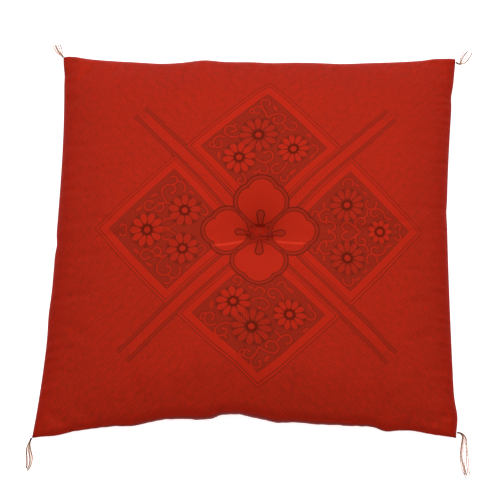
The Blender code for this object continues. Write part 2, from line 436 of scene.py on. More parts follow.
class Blend(Enum):
    """What a Mix node blends: its data type, the first of its two inputs and its output."""

    NUMBER = ("FLOAT", 2, 0)
    VECTOR = ("VECTOR", 4, 1)
    COLOUR = ("RGBA", 6, 2)

    def mix(self, first: Value, second: Value, share: Wire) -> Wire:
        """Blend two numbers, vectors or colours.

        Args:
            first: The one where the share is 0.
            second: The one where the share is 1.
            share: How much of the second.

        Returns:
            The blend.
        """
        data_type, place, output = self.value
        node = share.tree.nodes.new("ShaderNodeMix")
        node.data_type = data_type
        return fed(share.tree, node, {0: share, place: first, place + 1: second}, output)


def feed(inputs: bpy.types.NodeInputs, values: dict[int | str, Value]) -> None:
    """Join wires to a node's inputs, or set plain values on them.

    Args:
        inputs: The node's inputs.
        values: What goes into which of them.
    """
    for place, value in values.items():
        if isinstance(value, Wire):
            value.tree.links.new(value.socket, inputs[place])
        else:
            inputs[place].default_value = value


def fed(tree: bpy.types.NodeTree, node: bpy.types.Node, values: dict[int | str, Value],
        output: int | str = 0) -> Wire:
    """Feed a node and take its result.

    Args:
        tree: The material's node tree.
        node: The node.
        values: What goes into which of its inputs.
        output: Which output is the result.

    Returns:
        The result.
    """
    feed(node.inputs, values)
    return Wire(tree, node.outputs[output])


def pack(x: Wire, y: Number, z: Number = 0.0) -> Wire:
    """Make one vector of three numbers."""
    return fed(x.tree, x.tree.nodes.new("ShaderNodeCombineXYZ"), {0: x, 1: y, 2: z})


def unpack(vector: Wire) -> tuple[Wire, Wire, Wire]:
    """Take a vector apart.

    Args:
        vector: The vector.

    Returns:
        Its three numbers.
    """
    node = vector.tree.nodes.new("ShaderNodeSeparateXYZ")
    feed(node.inputs, {0: vector})
    return tuple(Wire(vector.tree, output) for output in node.outputs)


def measured(vector: Wire, operation: str, fixed: Pair) -> Wire:
    """Measure a vector against a fixed one.

    Args:
        vector: The vector.
        operation: How they are compared.
        fixed: The fixed one.

    Returns:
        The number that comes out.
    """
    node = vector.tree.nodes.new("ShaderNodeVectorMath")
    node.operation = operation
    return fed(vector.tree, node, {0: vector, 1: (*fixed, 0.0)}, "Value")


def distance(place: Wire, point: Pair) -> Wire:
    """Distance of a place from a fixed point."""
    return measured(place, "DISTANCE", point)


def along_way(place: Wire, way: Pair) -> Wire:
    """How far a place lies along a fixed way, which is one unit long."""
    return measured(place, "DOT_PRODUCT", way)


def length_of(x: Wire, y: Wire) -> Wire:
    """Length of the vector (x, y)."""
    return distance(pack(x, y), (0.0, 0.0))


def turned(first: Wire, second: Wire) -> tuple[Wire, Wire]:
    """Distances along the ways halfway between two square ones."""
    return (first + second) / ROOT2, (first - second) / ROOT2


def noise(place: Wire, detail: float) -> Wire:
    """Cloudy variation from 0 to 1, about one cloud to a unit, with finer layers in it."""
    node = place.tree.nodes.new("ShaderNodeTexNoise")
    return fed(place.tree, node, {"Vector": place, "Scale": 1.0, "Detail": detail})


def map_place(tree: bpy.types.NodeTree, name: str) -> Wire:
    """Where a point lies in one of the piece's maps.

    Args:
        tree: The material's node tree.
        name: The map.

    Returns:
        The place, as a vector.
    """
    node = tree.nodes.new("ShaderNodeUVMap")
    node.uv_map = name
    return fed(tree, node, {})


def new_material(name: str) -> bpy.types.Material:
    """Make a material of nodes.

    Args:
        name: Its name.

    Returns:
        The material, with a plain shader in it.
    """
    material = bpy.data.materials.new(name)
    material.use_nodes = True
    return material


# The woven pattern


@dataclass(frozen=True)
class Bloom:
    """A chrysanthemum: its middle in the folded pattern, outer radius, petals, turn and stripes."""

    u: float
    v: float
    radius: float
    petals: int
    turn: float
    striped: float

    def facts(self) -> tuple[float, float, float]:
        """What its petals are drawn with: their turn, their pitch and how striped they are."""
        return math.radians(self.turn), TURN / self.petals, self.striped


@dataclass(frozen=True)
class Bend:
    """One arc of a scroll: its middle, radius, the way to its midpoint and the cosine of half its turn."""

    middle: Pair
    radius: float
    way: Pair
    half_cosine: float

    def off(self, folded: Wire, half: float) -> Wire:
        """Measure how far a place is from the arc.

        Args:
            folded: The place in the folded pattern.
            half: How far past its ends the arc still counts.

        Returns:
            The distance from its line.
        """
        away = distance(folded, self.middle)
        middle_along = self.middle[0] * self.way[0] + self.middle[1] * self.way[1]
        past = away.math("MULTIPLY_ADD", self.half_cosine, middle_along + half)
        return abs(away - self.radius).most(past - along_way(folded, self.way))


@dataclass(frozen=True)
class Scroll:
    """A scrolling stem: where it starts, the way it heads, its bends (radius, turn) and its round end."""

    u: float
    v: float
    heading: float
    bends: tuple[Pair, ...]
    ball: float = 2.0

    def run(self) -> tuple[list[Bend], Pair]:
        """Follow the stem.

        Returns:
            Its arcs, and where it ends.
        """
        u, v, heading = self.u, self.v, math.radians(self.heading)
        arcs = []
        for radius, turn in self.bends:
            hand = math.copysign(1.0, turn)
            middle = (u - hand * radius * math.sin(heading), v + hand * radius * math.cos(heading))
            halfway = heading + math.radians(turn) / 2
            way = (hand * math.sin(halfway), -hand * math.cos(halfway))
            arcs.append(Bend(middle, radius, way, math.cos(math.radians(abs(turn)) / 2)))
            heading += math.radians(turn)
            u = middle[0] + hand * radius * math.sin(heading)
            v = middle[1] - hand * radius * math.cos(heading)
        return arcs, (u, v)


@dataclass(frozen=True)
class Leaf:
    """A pointed leaf: its middle in the folded pattern, half length and the way it points."""

    u: float
    v: float
    radius: float
    turn: float

    def facts(self) -> tuple[float, float, float]:
        """What it is drawn with: the cosine and sine of its turn."""
        turn = math.radians(self.turn)
        return math.cos(turn), math.sin(turn), 0.0


# Where the panels' middles are along each band's line, in millimetres
NEAR, FAR = -84.4, 84.4
BLOOMS = (
    Bloom(NEAR - 24.7, NEAR - 22.5, 22.5, 10, 45, 0.0),
    Bloom(NEAR + 29.6, NEAR - 6.7, 21.5, 9, -86, 0.7),
    Bloom(FAR - 33.8, NEAR - 12.4, 22.0, 10, -2, 0.0),
    Bloom(FAR + 7.8, NEAR - 20.2, 25.0, 12, 10, 1.0),
    Bloom(FAR + 27.4, NEAR + 28.1, 20.5, 11, -90, 0.0),
    Bloom(FAR + 24.5, FAR - 26.1, 23.0, 12, 15, 1.0),
    Bloom(FAR + 30.1, FAR + 32.4, 16.0, 9, 45, 0.0),
)
SCROLLS = (
    # Back and front panels
    Scroll(FAR - 12, NEAR - 36, 200, ((18, 50), (8, 200), (4, 140)), 2.2),
    Scroll(FAR - 27.3, NEAR - 47.2, 262, ((9.5, -167), (5.4, -190)), 2.0),
    Scroll(FAR - 47, NEAR - 46.8, 185, ((4.2, 190),), 1.6),
    Scroll(FAR - 11, NEAR - 54, 30, ((12, -50),), 0.0),
    Scroll(FAR + 26, NEAR - 49, 190, ((3.8, 200),), 1.6),
    Scroll(FAR + 33.8, NEAR - 32.6, 305, ((28, -35), (6, -180), (3.4, -110)), 1.8),
    Scroll(FAR + 40, NEAR - 47.5, 283, ((25, 15), (5.8, 230)), 1.9),
    Scroll(FAR + 33.8, NEAR - 32.2, 5, ((30, 30), (8, 255), (3, 80)), 2.1),
    Scroll(FAR + 42.5, NEAR - 11, 105, ((26, -30), (6, -215)), 1.9),
    Scroll(FAR + 42.5, NEAR - 3.5, 150, ((14, 50),), 0.0),
    Scroll(FAR - 18.3, NEAR + 1, 95, ((24, -25), (13, -75), (7, -175)), 2.3),
    Scroll(FAR - 14.5, NEAR + 17.5, 92, ((40, 10), (6, 200)), 1.9),
    Scroll(FAR - 46, NEAR + 5, 88, ((30, 20), (5.5, 200), (2.8, 120)), 1.5),
    Scroll(FAR + 12.5, NEAR + 34.5, 140, ((30, 42), (7, 230)), 2.3),
    Scroll(FAR - 10, NEAR + 46.5, 165, ((4.8, -230),), 1.7),
    Scroll(FAR + 36, NEAR + 55, -25, ((14, 35), (6.5, -215)), 2.0),
    # Left panel, behind its mirror line
    Scroll(NEAR - 49, NEAR - 50.5, 315, ((4.6, 215),), 1.6),
    Scroll(NEAR + 21.6, NEAR - 26, 260, ((13, -75), (60, 12), (6.5, 250)), 2.0),
    Scroll(NEAR + 3, NEAR - 37.5, 115, ((12, -15), (5.8, -250)), 1.9),
    Scroll(NEAR + 20, NEAR - 30, 275, ((80, 9), (10.5, 150), (5.6, 140)), 2.3),
    Scroll(NEAR + 42.3, NEAR - 44.5, 30, ((9, -50), (5, -150)), 1.8),
    Scroll(NEAR + 49, NEAR - 44, 20, ((8.5, 150),), 1.8),
    Scroll(NEAR + 12, NEAR - 0.6, 180, ((80, 9), (7, 240)), 2.1),
    Scroll(NEAR + 53, NEAR + 1, 75, ((25, 25), (5.2, 190)), 1.8),
    # Right panel, behind its mirror line
    Scroll(FAR - 17.8, FAR - 50, 275, ((4.3, 270),), 1.4),
    Scroll(FAR + 3.8, FAR - 37, 262, ((9.5, -237), (6.6, 220)), 2.2),
    Scroll(FAR - 14.5, FAR - 32, 45, ((4.4, -130),), 1.7),
    Scroll(FAR + 39.5, FAR - 50.5, 290, ((7, 220),), 2.0),
    Scroll(FAR + 50, FAR - 10.5, 190, ((7.4, -250),), 2.0),
    Scroll(FAR + 43, FAR + 3.5, 10, ((12, 130),), 0.0),
    Scroll(FAR + 43, FAR + 3, 175, ((5.5, -170),), 1.8),
    Scroll(FAR + 11, FAR + 13, 270, ((90, -12), (6.3, -215)), 1.9),
    Scroll(FAR + 11.8, FAR + 13, 270, ((90, 5), (7.6, 170), (4, 140)), 2.1),
    Scroll(FAR + 27, FAR + 3, 30, ((8, -100),), 0.0),
    Scroll(FAR + 49, FAR + 43, 300, ((4, 250),), 1.5),
)
LEAVES = (
    Leaf(NEAR - 13, NEAR - 51, 6.5, 5),
    Leaf(NEAR + 14, NEAR - 51, 6.0, 20),
    Leaf(NEAR + 54, NEAR - 19, 5.0, 80),
    Leaf(FAR - 51.5, NEAR - 33.7, 7.0, 135),
    Leaf(FAR + 51, NEAR - 36, 6.5, 105),
    Leaf(FAR - 32.5, NEAR + 19, 5.0, 20),
    Leaf(FAR + 4, NEAR + 53.5, 7.0, 5),
    Leaf(FAR + 37, NEAR + 55, 6.0, -20),
    Leaf(FAR + 55, NEAR + 27, 6.0, 85),
    Leaf(FAR + 3, FAR - 49, 6.0, -40),
    Leaf(FAR + 53, FAR - 37, 5.0, 85),
    Leaf(FAR + 53, FAR - 21, 5.0, 80),
    Leaf(FAR + 52, FAR + 28, 5.5, 60),
)


@dataclass(frozen=True)
class Weave:
    """How light each part of the weave is, 0 at its darkest and 1 at its brightest, and its edges' blur."""

    ground: float = 0.60
    band: float = 0.70
    band_line: float = 0.15
    band_between: float = 0.50
    frame: float = 0.75
    frame_line: float = 0.18
    frame_between: float = 0.80
    field: float = 0.33
    scroll: float = 0.67
    outline: float = 0.12
    petal: float = 0.70
    eye: float = 0.62
    ring: float = -0.10
    flower: float = 0.71
    flower_line: float = -0.06
    flower_rim: float = 0.40
    stamen: float = 0.44
    blur: float = 0.7


@dataclass(frozen=True)
class Texture:
    """Uneven tone: how strong it is, and how many times a millimetre it changes along two ways."""

    strength: float
    across: float
    along: float
    offset: float = 0.0
    detail: float = 1.0

    def tone(self, across: Wire, along: Wire) -> Wire:
        """How much lighter or darker the cloth is, at a distance along each way."""
        place = pack(across * self.across, along * self.along, self.offset)
        return (noise(place, self.detail) - 0.5) * self.strength


@dataclass(frozen=True)
class Ground:
    """The plain ground, whose slubby lines run towards the centre from each corner."""

    lines: Texture = Texture(strength=0.10, across=0.22, along=0.010, detail=2.0)
    threads: Texture = Texture(strength=0.72, across=0.80, along=0.13, offset=5.0)
    crossing: Texture = Texture(strength=0.64, across=0.12, along=0.80, offset=7.0)
    clouds: Texture = Texture(strength=0.16, across=0.012, along=0.012, offset=9.0, detail=2.0)
    stripe_pitch: float = 13.6
    stripe_half: float = 0.8
    stripe_depth: float = 0.10
    rib_pitch: float = 3.4
    rib_depth: float = 0.08

    def tone(self, p: Wire, q: Wire) -> Wire:
        """How much lighter or darker the ground is than its own level.

        Args:
            p: Distance from the first band's line.
            q: Distance from the second band's line.

        Returns:
            The change in tone.
        """
        steep = abs(p).math("LESS_THAN", abs(q))
        side = q.toward(p, steep)
        run = p.toward(q, steep)
        fine = self.threads.tone(side, run) + self.crossing.tone(side, run)
        broad = self.lines.tone(side, run) + self.clouds.tone(p, q)
        beside = abs(side.math("WRAP", self.stripe_pitch / 2, self.stripe_pitch / -2))
        stripe = beside.below(self.stripe_half, self.stripe_half) * self.stripe_depth
        rib = (side * (TURN / self.rib_pitch)).math("COSINE") * self.rib_depth
        return broad + fine - stripe - rib


@dataclass(frozen=True)
class Bands:
    """The crossed bands: a hatched middle between pairs of dark lines, in millimetres."""

    half: float = 6.4
    hatch_end: float = 219.0
    lines: Pair = (7.5, 11.4)
    line_half: float = 0.72
    end: float = 230.0
    end_blur: float = 2.0
    hatch: Texture = Texture(strength=0.80, across=0.42, along=0.17, offset=4.0)

    def draw(self, level: Wire, p: Wire, q: Wire, weave: Weave) -> Wire:
        """Draw the bands.

        Args:
            level: How light the cloth is without them.
            p: Distance from the first band's line.
            q: Distance from the second band's line.
            weave: How light the weave's parts are.

        Returns:
            How light the cloth is with them.
        """
        side = abs(p).least(abs(q))
        run = abs(p).most(abs(q))
        hatched = self.hatch.tone(p + q, p - q) + weave.band
        middle = side.below(self.half, weave.blur) * run.below(self.hatch_end, self.end_blur)
        level = level.toward(hatched, middle)
        inside = run.below(self.end, self.end_blur)
        inner, outer = self.lines
        offset = abs(side - (inner + outer) / 2)
        half = (outer - inner) / 2
        level = level.toward(weave.band_between, offset.below(half, weave.blur) * inside)
        line = abs(offset - half).below(self.line_half, weave.blur)
        return level.toward(weave.band_line, line * inside)


@dataclass(frozen=True)
class Petals:
    """How a chrysanthemum is drawn, in shares of its radius but for the ring and the eye."""

    middle: float = 0.68
    half_length: float = 0.33
    fill: float = 0.29
    taper: float = 0.22
    edge_blur: float = 0.30
    halo: float = 1.03
    halo_blur: float = 0.16
    halo_strength: float = 0.75
    halo_tone: float = 0.06
    ring: float = 7.6
    eye: float = 4.1
    stripe_across: float = 48.0
    stripe_along: float = 18.0
    stripe_depth: float = 0.75


@dataclass(frozen=True)
class Panels:
    """The four framed panels of flowers and scrolls, in millimetres from each panel's middle."""

    field_half: float = 60.0
    frame_half: float = 68.8
    outlines: Pair = (69.7, 73.2)
    outline_half: float = 0.62
    speckle: Texture = Texture(strength=0.50, across=0.55, along=0.55, offset=3.0)
    frame_weave: Texture = Texture(strength=0.20, across=0.30, along=0.30, offset=6.0)
    petals: Petals = Petals()
    mirror_shift: float = 2.26
    stem_half: float = 1.30
    stem_outline: float = 1.1
    leaf_curve: float = 0.12
    leaf_half_width: float = 0.34
    leaf_outline: float = 0.45
    rim_strength: float = 0.8

    def draw(self, level: Wire, p: Wire, q: Wire, weave: Weave) -> Wire:
        """Draw the panels.

        Args:
            level: How light the cloth is without them.
            p: Distance from the first band's line.
            q: Distance from the second band's line.
            weave: How light the weave's parts are.

        Returns:
            How light the cloth is with them.
        """
        blur = weave.blur
        reach = abs(abs(p) - FAR).most(abs(abs(q) - FAR))
        inner, outer = self.outlines
        between = abs(reach - (inner + outer) / 2).below((outer - inner) / 2, blur)
        level = level.toward(weave.frame_between, between)
        for offset in self.outlines:
            level = level.toward(weave.frame_line, abs(reach - offset).below(self.outline_half, blur))
        frame_tone = self.frame_weave.tone(p, q) + weave.frame
        level = level.toward(frame_tone, reach.below(self.frame_half, blur))
        folded = pack(p.most(q - self.mirror_shift), q.least(p + self.mirror_shift))
        field = self.speckle.tone(p, q) + weave.field
        field = field.toward(weave.outline, abs(reach - self.field_half).below(self.outline_half, blur))
        stem, leaf = self.scroll(folded), self.leaf(folded)
        stem_rim = stem.below(self.stem_half + self.stem_outline, blur)
        leaf_rim = leaf.below(1.0 + self.leaf_outline, blur)
        field = field.toward(weave.outline, stem_rim.most(leaf_rim) * self.rim_strength)
        field = field.toward(weave.scroll, stem.below(self.stem_half, blur).most(leaf.below(1.0, blur)))
        field = self.bloom(field, folded, weave)
        return level.toward(field, reach.below(self.field_half, blur))

    def nearest(self, folded: Wire, motifs: tuple[Bloom | Leaf, ...]) -> tuple[Wire, Wire, Wire]:
        """Choose the motif that a place belongs to.

        Args:
            folded: The place.
            motifs: The motifs to choose from.

        Returns:
            The motif's middle and radius, its facts, and how many radii away it is.
        """
        first = motifs[0]
        shape = (first.u, first.v, first.radius)
        detail = first.facts()
        away = distance(folded, shape[:2]) / first.radius
        for motif in motifs[1:]:
            here = distance(folded, (motif.u, motif.v)) / motif.radius
            closer = here.math("LESS_THAN", away)
            shape = Blend.VECTOR.mix(shape, (motif.u, motif.v, motif.radius), closer)
            detail = Blend.VECTOR.mix(detail, motif.facts(), closer)
            away = here.least(away)
        return shape, detail, away

    def scroll(self, folded: Wire) -> Wire:
        """Scrolling stems of joined arcs, each with a round end.

        Args:
            folded: The place in the folded pattern.

        Returns:
            The distance from the middle of the nearest stem.
        """
        parts = []
        for stem in SCROLLS:
            arcs, end = stem.run()
            parts.extend(arc.off(folded, self.stem_half) for arc in arcs)
            if stem.ball:
                parts.append(distance(folded, end) - (stem.ball - self.stem_half))
        off = parts[0]
        for part in parts[1:]:
            off = off.least(part)
        return off

    def leaf(self, folded: Wire) -> Wire:
        """Curved, pointed leaves.

        Args:
            folded: The place in the folded pattern.

        Returns:
            How far out from the nearest leaf's middle, 1 at its edge.
        """
        shape, detail, _away = self.nearest(folded, LEAVES)
        middle_u, middle_v, radius = unpack(shape)
        cosine, sine, _flat = unpack(detail)
        u, v, _flat = unpack(folded)
        du, dv = (u - middle_u) / radius, (v - middle_v) / radius
        x, y = du * cosine + dv * sine, dv * cosine - du * sine
        bent = abs(y + x * x * self.leaf_curve)
        return bent / self.leaf_half_width + x * x

    def bloom(self, level: Wire, folded: Wire, weave: Weave) -> Wire:
        """Chrysanthemums with rounded petals round a dark ring and a light eye.

        Args:
            level: How light the panel is without them.
            folded: The place in the folded pattern.
            weave: How light the weave's parts are.

        Returns:
            How light the panel is with them.
        """
        style = self.petals
        shape, detail, away = self.nearest(folded, BLOOMS)
        middle_u, middle_v, radius = unpack(shape)
        turn, pitch, striped = unpack(detail)
        u, v, _flat = unpack(folded)
        angle = (v - middle_v).math("ARCTAN2", u - middle_u) - turn
        aside = angle.math("WRAP", pitch * 0.5, pitch * -0.5) * away
        along = away - style.middle
        half = pitch * style.fill + along * style.taper
        oval = (along / style.half_length).math("POWER", 2.0) + (aside / half).math("POWER", 2.0)
        halo = away.below(style.halo, style.halo_blur) * style.halo_strength
        level = level.toward(style.halo_tone, halo)
        stripes = (aside * style.stripe_across + along * style.stripe_along).sine().most(0.0)
        tone = (1.0 - stripes * striped * style.stripe_depth) * weave.petal
        level = level.toward(tone, oval.below(1.0, style.edge_blur))
        reach = away * radius
        level = level.toward(weave.ring, reach.below(style.ring, weave.blur))
        return level.toward(weave.eye, reach.below(style.eye, weave.blur))


@dataclass(frozen=True)
class Patch:
    """A soft oval patch of its own level at the tuft, in millimetres from it."""

    across: float
    back: float
    half_across: float
    half_back: float
    level: float


@dataclass(frozen=True)
class Lobe:
    """A round part of a petal or a stamen, at a place along its axis and beside it."""

    along: float
    radius: float
    aside: float = 0.0

    def off(self, spot: Wire) -> Wire:
        """Distance outside it."""
        return distance(spot, (self.along, self.aside)) - self.radius


@dataclass(frozen=True)
class Flower:
    """The large four-petalled flower; places are along and beside a petal's own axis."""

    side_lobe: Lobe = Lobe(along=44.8, radius=17.7, aside=15.1)
    tip_lobe: Lobe = Lobe(along=55.6, radius=19.0)
    body: tuple[Lobe, Lobe] = (Lobe(along=21.3, radius=8.3), Lobe(along=40.0, radius=25.3))
    stamen: tuple[Lobe, Lobe] = (Lobe(along=11.5, radius=1.9), Lobe(along=28.0, radius=5.3))
    join: float = 6.0
    line_width: float = 1.1
    gap_half: float = 0.55
    gap_start: float = 28.0
    rim_width: float = 5.0
    outer_line: float = 6.5
    stamen_line: float = 1.7
    boss_weave: Texture = Texture(strength=1.3, across=0.62, along=0.20, offset=8.0)
    silk: Texture = Texture(strength=0.26, across=0.42, along=0.10, offset=11.0, detail=3.0)
    patch_blur: float = 0.5
    # The first, light oval is the woven boss; the darker ovals round it are painted shade where the tuft
    # pinches the cloth.
    boss_and_shade_patches: tuple[Patch, ...] = (
        Patch(-0.6, 6.0, 9.8, 6.6, 0.62),
        Patch(-0.5, -4.4, 14.5, 4.4, 0.24),
        Patch(-0.3, 12.7, 7.2, 2.1, -0.30),
        Patch(-11.7, -4.5, 1.7, 4.4, -0.15),
        Patch(-15.2, -3.8, 1.6, 3.2, -0.10),
        Patch(9.8, -4.7, 2.0, 1.8, -0.35),
        Patch(14.0, -4.6, 1.7, 3.2, -0.35),
    )
    # Where the painted highlight along the fold runs, in millimetres.
    crease_place: float = -21.2
    crease_rise: float = 7.7
    crease_slope: float = 0.042
    crease_half: float = 1.5
    crease_level_from: float = 55.0
    crease_reach: Pair = (21.0, 61.0)
    crease_blur: float = 8.0
    # How far the painted shade in the tuft's dip reaches, in millimetres.
    dip_shade_reach: float = 38.0

    def tapered(self, along: Wire, aside: Wire, ends: tuple[Lobe, Lobe]) -> Wire:
        """Distance outside a rounded shape that widens from one end to the other.

        Args:
            along: Place along the shape's axis.
            aside: Distance from the axis.
            ends: Its narrow end and its wide one.

        Returns:
            The distance, below 0 inside.
        """
        start, stop = ends
        span, growth = stop.along - start.along, stop.radius - start.radius
        slope = growth / span
        lean = math.sqrt(1 - slope ** 2)
        share = ((along - start.along + aside * (slope / lean)) / span).clamp()
        off = along - start.along - share * span
        return length_of(off, aside) - share * growth - start.radius

    def draw(self, level: Wire, p: Wire, q: Wire, weave: Weave) -> Wire:
        """Draw the flower.

        Args:
            level: How light the cloth is without it.
            p: Distance from the first band's line.
            q: Distance from the second band's line.
            weave: How light the weave's parts are.

        Returns:
            How light the cloth is with it.
        """
        blur = weave.blur
        across, back = turned(p, q)
        along, slant = turned(abs(p), abs(q))
        aside = abs(slant)
        spot = pack(along, aside)
        body = self.tapered(along, aside, self.body)
        edge = self.side_lobe.off(spot).math("SMOOTH_MIN", body, self.join).least(self.tip_lobe.off(spot))
        level = level.toward(weave.flower_line, edge.below(self.outer_line, blur))
        rim = edge.below(self.rim_width, blur)
        level = level.toward(weave.flower_rim, rim)
        gap = abs(p).least(abs(q)).below(self.gap_half, blur) * rim
        level = level.toward(weave.flower_line, gap * (1.0 - along.below(self.gap_start, blur)))
        level = level.toward(weave.flower_line, edge.below(self.line_width, blur))
        level = level.toward(self.silk.tone(across, back) + weave.flower, edge.below(0.0, blur))
        stamen = self.tapered(along, aside, self.stamen)
        level = level.toward(weave.flower_line, stamen.below(self.stamen_line / 2, blur))
        level = level.toward(weave.stamen, stamen.below(self.stamen_line / -2, blur))
        boss = self.boss_weave.tone(across, back)
        # Painted shade: the dark ovals round the woven boss stand for the shade of the pinched cloth.
        for patch in self.boss_and_shade_patches:
            oval = length_of((across - patch.across) / patch.half_across,
                             (back - patch.back) / patch.half_back)
            level = level.toward(boss + patch.level, oval.below(1.0, self.patch_blur))
        return level

    def crease_highlight(self, p: Wire, q: Wire) -> Wire:
        """The painted highlight along a fold across the two side petals.

        Args:
            p: Distance from the first band's line.
            q: Distance from the second band's line.

        Returns:
            The painted highlight's mask.
        """
        across, back = turned(p, q)
        near, far = self.crease_reach
        reach = abs(across)
        bent = ((self.crease_level_from - reach) / (self.crease_level_from - near)).clamp()
        rise = bent * bent * self.crease_rise
        middle = across * self.crease_slope + rise + self.crease_place
        line = abs(back - middle).below(self.crease_half, 2 * self.crease_half)
        return line * reach.below(far, self.crease_blur) * (1.0 - reach.below(near, self.crease_blur))

    def tuft_dip_shade(self, p: Wire, q: Wire) -> Wire:
        """How much painted shade falls in the tuft's dip, 1 at the tuft itself."""
        return length_of(p, q).below(self.dip_shade_reach / 2, self.dip_shade_reach)


@dataclass(frozen=True)
class FiguredCloth:
    """Red figured cotton with a soft sheen, whose plain underside is a darker red as painted shade; painted
    shade also lies beside the seams and in the tuft's dip, and a painted highlight along a fold.
    """

    dark: Colour = (0.155, 0.0180, 0.0085, 1.0)
    bright: Colour = (0.545, 0.0185, 0.0060, 1.0)
    deep: Colour = (0.125, 0.0060, 0.0015, 1.0)
    deep_from: float = 0.30
    deep_at: float = -0.25
    # Painted highlight along a fold across the side petals:
    crease_highlight: Colour = (0.63, 0.036, 0.015, 1.0)
    # Painted shade beside the seams and in the tuft's dip: its colour, strength and reach.
    shaded: Colour = (0.28, 0.0070, 0.0018, 1.0)
    seam_shade: float = 0.56
    seam_reach: float = 36.0
    front_reach: float = 17.0
    tuft_shade: float = 0.75
    under_edge: float = 1000.0
    # Painted shade: how light the underside's plain red is, as a share of the bright red.
    under_shade_share: float = 0.30
    lustre: float = 0.25
    lustre_edge: Colour = (0.80, 0.04, 0.02, 1.0)
    lustre_level: float = 0.12
    roughness: float = 0.60
    weave: Weave = Weave()
    ground: Ground = Ground()
    bands: Bands = Bands()
    panels: Panels = Panels()
    flower: Flower = Flower()
    thread_pitch: float = 0.9
    thread_height: float = 0.5
    slub: Texture = Texture(strength=1.6, across=0.5, along=0.5, offset=2.0, detail=2.0)
    relief: float = 0.0002
    relief_strength: float = 0.3

    def dress(self) -> bpy.types.Material:
        """Make the cloth's material.

        Returns:
            The material.
        """
        material = new_material("figured_cloth")
        tree = material.node_tree
        across, back, _flat = unpack(map_place(tree, CLOTH_MAP))
        across, back = across / MM, back / MM
        p, q = turned(across, back)
        tone = self.ground.tone(p, q)
        level = tone + self.weave.ground
        for part in (self.bands, self.panels, self.flower):
            level = part.draw(level, p, q, self.weave)
        cloth = Blend.COLOUR.mix(self.dark, self.bright, level.clamp())
        deep = level.below((self.deep_from + self.deep_at) / 2, self.deep_from - self.deep_at)
        cloth = Blend.COLOUR.mix(cloth, self.deep, deep)
        # Painted highlight along a fold across the side petals.
        cloth = Blend.COLOUR.mix(cloth, self.crease_highlight, self.flower.crease_highlight(p, q))
        # Painted shade beside the seams and in the tuft's dip.
        cloth = Blend.COLOUR.mix(cloth, self.shaded, self.shade(p, q))
        # Painted shade: the underside is a plain, darker red that stands for the shade beneath the cushion.
        under = across.math("GREATER_THAN", self.under_edge)
        plain = tuple(part * self.under_shade_share for part in self.bright[:3]) + (1.0,)
        feed(tree.nodes["Principled BSDF"].inputs, {
            "Base Color": Blend.COLOUR.mix(cloth, plain, under),
            "Roughness": self.roughness,
            "Metallic": self.lustre,
            "Specular IOR Level": self.lustre_level,
            "Specular Tint": self.lustre_edge,
            "Normal": self.threads(p, q, tone),
        })
        return material

    def shade(self, p: Wire, q: Wire) -> Wire:
        """How much painted shade darkens the cloth beside its seams and in the tuft's dip.

        Args:
            p: Distance from the first band's line.
            q: Distance from the second band's line.

        Returns:
            The share of painted shade.
        """
        aside, front, _flat = unpack(map_place(p.tree, INSET_MAP))
        nearest = aside.least(front * (self.seam_reach / self.front_reach))
        seam = (nearest / MM).below(self.seam_reach / 2, self.seam_reach)
        dip_shade = self.flower.tuft_dip_shade(p, q)
        return (seam * seam * self.seam_shade).most(dip_shade * dip_shade * self.tuft_shade)

    def threads(self, p: Wire, q: Wire, tone: Wire) -> Wire:
        """The fine relief of crossing threads and slubs.

        Args:
            p: Distance from the first band's line.
            q: Distance from the second band's line.
            tone: The ground's uneven tone, which is raised with the threads.

        Returns:
            The surface's direction.
        """
        turns = TURN / self.thread_pitch
        crossed = (p * turns).sine() * (q * turns).sine()
        height = crossed * self.thread_height + self.slub.tone(p, q) + tone
        facts = {"Strength": self.relief_strength, "Distance": self.relief, "Height": height}
        return fed(p.tree, p.tree.nodes.new("ShaderNodeBump"), facts)


@dataclass(frozen=True)
class TwistedThread:
    """Plied thread, darker at its root and its tip and with painted shade along a stretch where it runs
    into the cloth, that varies a little from thread to thread.
    """

    name: str
    colour: Colour
    root_colour: Colour
    root_share: float
    tip_share: float
    sunk_shade: Pair = (0.5, 0.0)
    variety: float = 0.22
    variety_lean: float = 0.3
    mottle: float = 0.9
    fibres: Pair = (40.0, 60.0)
    fibre_detail: float = 3.0
    spread: float = 91.0
    roughness: float = 0.8
    specular: float = 0.15

    def dress(self) -> bpy.types.Material:
        """Make the thread's material.

        Returns:
            The material.
        """
        material = new_material(self.name)
        tree = material.node_tree
        strand, along, _flat = unpack(map_place(tree, THREAD_MAP))
        fibre = noise(pack(strand * self.fibres[0], along * self.fibres[1]), self.fibre_detail)
        root = along.below(self.root_share, self.root_share)
        tip = (1.0 - along).below(self.tip_share, self.tip_share)
        # Painted shade: the thread darkens along a stretch where it runs into the pinched cloth at the
        # tuft.
        sunk_place, sunk_half = self.sunk_shade
        sunk_shade = abs(along - sunk_place).below(sunk_half, MM + sunk_half)
        shade = root.most(tip).most(sunk_shade) + (fibre - 0.5) * self.mottle
        shade = shade + ((strand * self.spread).sine() + self.variety_lean) * self.variety
        feed(tree.nodes["Principled BSDF"].inputs, {
            "Base Color": Blend.COLOUR.mix(self.colour, self.root_colour, shade.clamp()),
            "Roughness": self.roughness,
            "Specular IOR Level": self.specular,
        })
        return material


RED_THREAD = TwistedThread("red_thread", colour=(0.44, 0.040, 0.028, 1.0),
                           root_colour=(0.20, 0.008, 0.004, 1.0), root_share=0.02, tip_share=0.02,
                           sunk_shade=(0.38, 0.14))
CREAM_THREAD = TwistedThread("cream_thread", colour=(0.50, 0.25, 0.165, 1.0),
                             root_colour=(0.11, 0.034, 0.018, 1.0), root_share=0.11, tip_share=0.05,
                             variety=0.45, mottle=0.7)


# Pieces


